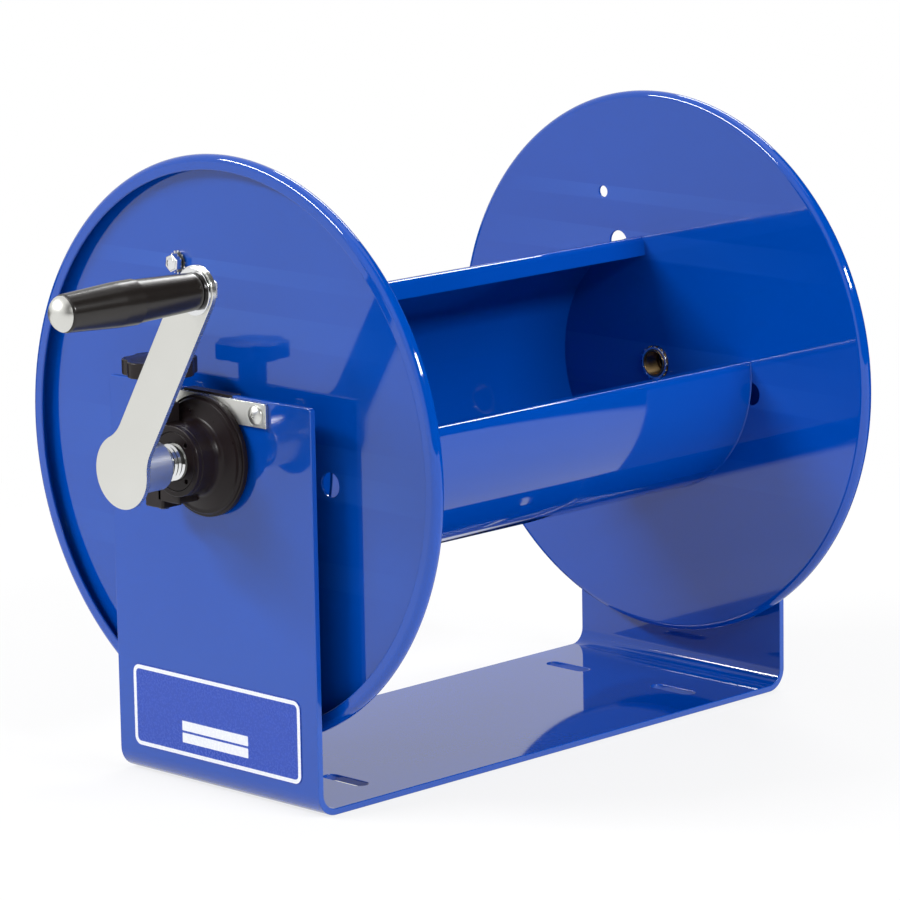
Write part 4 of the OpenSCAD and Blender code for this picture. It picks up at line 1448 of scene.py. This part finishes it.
def make_spindle():
    ball = (HEAD_RADIUS ** 2 + HEAD_HEIGHT ** 2) / (2 * HEAD_HEIGHT)
    foot = GRIP_OUT + 0.3
    cap_end = math.degrees(math.asin((HEAD_RADIUS - 0.25) / ball))
    cap, _ = arc((foot + HEAD_HEIGHT - ball, 0), ball, 0, cap_end, 22)
    outline = [(48.1, 0), *map(tuple, cap), (foot + 0.05, HEAD_RADIUS), (foot, 8.4), (foot, 4.0),
               (48.6, 4.0), (48.1, 3.5)]
    rod = Shape().spin(smooth_outline(outline), 64)
    show("spindle", rod.mesh("spindle", SPINDLE), ZINC, "reel", "bright_steel", "grip_spindle")
    spin_piece("wide_washer", "grip_wide_washer", SPINDLE, block(ARM_OUT, 4.1, 61.1, 12.0), 0.45,
               "reel", "bright_steel", count=64)
    spin_piece("thin_washer", "grip_thin_washer", SPINDLE, block(61.1, 4.1, 62.9, 7.4), 0.45,
               "reel", "bright_steel", count=64)
    nut = place_mm(nut_mesh(12.7, 6.5, 4.0), along(SPINDLE, 50.1))
    show("spindle_nut_piece", nut, ZINC, "reel", "zinc_steel", "spindle_nut")


make_spindle()

# %% [markdown]
# ## Bolt and star washer in the crank's disc
# A short hexagon bolt locks the hose's end clip. Its star washer has a ring of twisted teeth, made by
# the teeth recipe round a plain ring.

# %% Bolt and star washer in the crank's disc
BOLT = CRANK_SIDE @ Matrix.Rotation(math.radians(BOLT_TURN), 4, "Z") @ Matrix.Translation(
    (0, BOLT_REACH, DISC - CRANK_DISC))
THREAD_RADIUS = 3.0


def make_bolt():
    head = Shape().slab(eased(hexagon(8.6), 0.5), 1.3, 5.7, 0.9)
    boss = [(5.5, 0), (6.0, 0), (6.0, 2.0), (5.7, 3.0), (5.5, 3.0)]
    head.spin(eased(boss, [0, 0, 0.4, 0.2, 0.1]), 48)
    shank = [(-7.8, 0), (1.4, 0), (1.4, THREAD_RADIUS), (-7.2, THREAD_RADIUS), (-7.8, 2.5)]
    head.spin(eased(shank, [0, 0, 0.1, 0.1, 0.1]), 32)
    show("clip_bolt", head.mesh("clip_bolt", BOLT), BRIGHT, "reel", "bright_steel", "disc_bolt")


def make_star_washer():
    spin_piece("star_washer", "disc_star_washer", BOLT, block(0.35, 3.25, 0.95, 5.1), 0.15,
               "reel", "bright_steel", DARK_ZINC, 48)
    sizes = {"Count": 16, "Radius": 5.5, "Long": 1.2, "Wide": 0.95, "Thick": 0.5, "Twist": 0.6,
             "Material": BRIGHT}
    teeth = place_mm(TEETH.run("star_teeth", sizes), along(BOLT, 0.65))
    show("star_teeth", teeth, BRIGHT, "reel", "bright_steel")
    nut = place_mm(nut_mesh(9.4, 4.8, THREAD_RADIUS + 0.05), along(BOLT, -6.3))
    show("clip_nut", nut, ZINC, "reel", "zinc_steel", "disc_bolt_nut")


make_bolt()
make_star_washer()

# %% [markdown]
# ## Welds
# The drum's sheet is welded to both discs from outside and painted over. The weld recipe sweeps a thin
# round bead along the drum's open circle, and the bead is turned about for the crank's side.

# %% Welds
WELD_RADIUS, BEAD = 70.9, 0.4


def make_welds():
    start, sweep = math.radians(90 + SLOT_TO), math.radians(360 - SLOT_TO + SLOT_FROM)
    bead = {"Radius": WELD_RADIUS, "Start": start, "Sweep": sweep, "Bead": BEAD, "Material": BLUE_PAINT}
    places = {"weld_far": along(INLET_SIDE, -INLET_DISC - 0.1),
              "weld_near": along(CRANK_SIDE, -CRANK_DISC - 0.1) @ Matrix.Rotation(math.pi, 4, "Y")}
    for name, place in places.items():
        show(name, soften(place_mm(WELD.run(name, bead), place)), BLUE_PAINT, "reel", "blue_paint")


make_welds()

# %% [markdown]
# ## Outlet and axle
# Hose screws into the brass axle inside the drum, and a toothed ring locks it to the disc. The outline
# of the hollow axle includes its bore, so the port is open as on the real part, and the thread recipe
# winds a fine ridge round its inside.

# %% Outlet and axle
MOUTH, MOUTH_RADIUS, PORT_BORE = -23.2, 7.7, 6.8
SHOULDER_IN, SHOULDER_OUT = -19.9, -16.9


def make_axle():
    corners = [(MOUTH, PORT_BORE), (-12.7, PORT_BORE), (-12.7, 4.8), (29.1, 4.8), (29.1, 0), (43.6, 0),
               (43.6, 7.0), (42.6, 8.0), (7.6, 8.0), (7.6, SHAFT), (SHOULDER_OUT, SHAFT),
               (SHOULDER_OUT, 16.0), (SHOULDER_IN, 16.0), (SHOULDER_IN, SHAFT), (-INLET_DISC, SHAFT),
               (-INLET_DISC, MOUTH_RADIUS), (MOUTH, MOUTH_RADIUS)]
    radii = [0.3, 0.3, 0.3, 0.1, 0, 0, 0.2, 0.2, 0.1, 0.3, 0.2, 0.4, 0.2, 0.2, 0.1, 0.1, 0.3]
    spin_piece("axle", "outlet_axle", INLET_SIDE, corners, radii, "reel", "brass", count=64)
    winding = {"Radius": PORT_BORE, "Pitch": 1.41, "Turns": 6.5, "Ridge": 0.6, "Material": DARKENED_BRASS}
    ridge = place_mm(THREAD.run("outlet_thread", winding), along(INLET_SIDE, -22.5))
    show("outlet_thread", soften(ridge), DARKENED_BRASS, "reel", "brass")


def make_lock_ring():
    spin_piece("lock_ring", "outlet_lock_ring", INLET_SIDE, block(-22.6, 7.8, -INLET_DISC, 9.0), 0.2,
               "reel", "zinc_steel", count=48)
    sizes = {"Count": 16, "Radius": 9.3, "Long": 1.0, "Wide": 1.6, "Thick": 0.6, "Twist": 0.5,
             "Material": BRIGHT}
    teeth = place_mm(TEETH.run("lock_teeth", sizes), along(INLET_SIDE, -22.0))
    show("lock_teeth", teeth, BRIGHT, "reel", "bright_steel")
    spin_piece("spacer", "inlet_side_spacer", INLET_SIDE, block(SHOULDER_OUT, BORE, -6.8, 13), 0.4,
               "reel", "zinc_steel")


make_axle()
make_lock_ring()

# %% [markdown]
# ## Swivel
# Outside the far leg a brass body turns on the axle and lets the supply hose stay still. Two rubber
# rings seal it, and a retaining ring keeps it on. Its inlet hangs down, so that branch is spun about a
# place turned to look downward.

# %% Swivel
SWIVEL_MIDDLE, SWIVEL_RADIUS = 25.1, 13.5


def make_swivel():
    body = [(9.6, 8.05), (17.6, 8.05), (17.6, 10.4), (32.6, 10.4), (32.6, 8.05), (40.6, 8.05),
            (40.6, 12.4), (38.9, SWIVEL_RADIUS), (35.0, SWIVEL_RADIUS), (34.4, 12.9), (15.8, 12.9),
            (15.2, SWIVEL_RADIUS), (11.3, SWIVEL_RADIUS), (9.6, 12.4)]
    radii = [0.2, 0.2, 0.3, 0.3, 0.2, 0.2, 0.6, 0.6, 0.3, 0.3, 0.3, 0.3, 0.6, 0.6]
    spin_piece("swivel_housing", "swivel_body", INLET_SIDE, body, radii, "swivel", "brass")
    down = along(INLET_SIDE, SWIVEL_MIDDLE) @ Matrix.Rotation(math.radians(90), 4, "X")
    branch = [(12.2, 7.2), (33.9, 7.2), (33.9, 10.2), (33.0, 11.0), (26.0, 11.0), (25.4, 10.4), (12.2, 10.4)]
    spin_piece("swivel_branch", None, down, branch, [0.2, 0.5, 0.5, 0.4, 0.3, 0.3, 0.2], "swivel", "brass")


def make_seals():
    for name, height, nodes in (("seal_0", 14.6, ["swivel_seals"]), ("seal_1", 35.6, [])):
        section = Outline(*arc((height, 7.25), 0.75, 0, 345, 24))
        mesh = Shape().spin(section, 64).mesh(name, INLET_SIDE)
        show(name, mesh, SEAL_RUBBER, "reel", "seal_rubber", *nodes)
    spin_piece("retaining_ring", "swivel_retaining_ring", INLET_SIDE, block(40.9, 7.0, 42.1, 10.0), 0.25,
               "reel", "zinc_steel")


make_swivel()
make_seals()

# %% [markdown]
# ## Label
# The crank side's leg carries a thin printed film. Its blank border and fields are in its finish.

# %% Label
def make_label():
    half_w, half_h = LABEL_WIDE / 2, LABEL_HIGH / 2
    film = eased(block(-half_w, -half_h, half_w, half_h), LABEL_CORNER, 10)
    place = CRANK_SIDE @ Matrix.Translation((0, LABEL_MIDDLE_Z - AXLE_Z, 0))
    mesh = Shape().slab(film, 0.0, 0.4, 0.12).mesh("label", place)
    mesh.attributes.remove(mesh.attributes["rim"])
    show("label", mesh, LABEL_FILM, "frame", "label_film", "label_plate")


make_label()
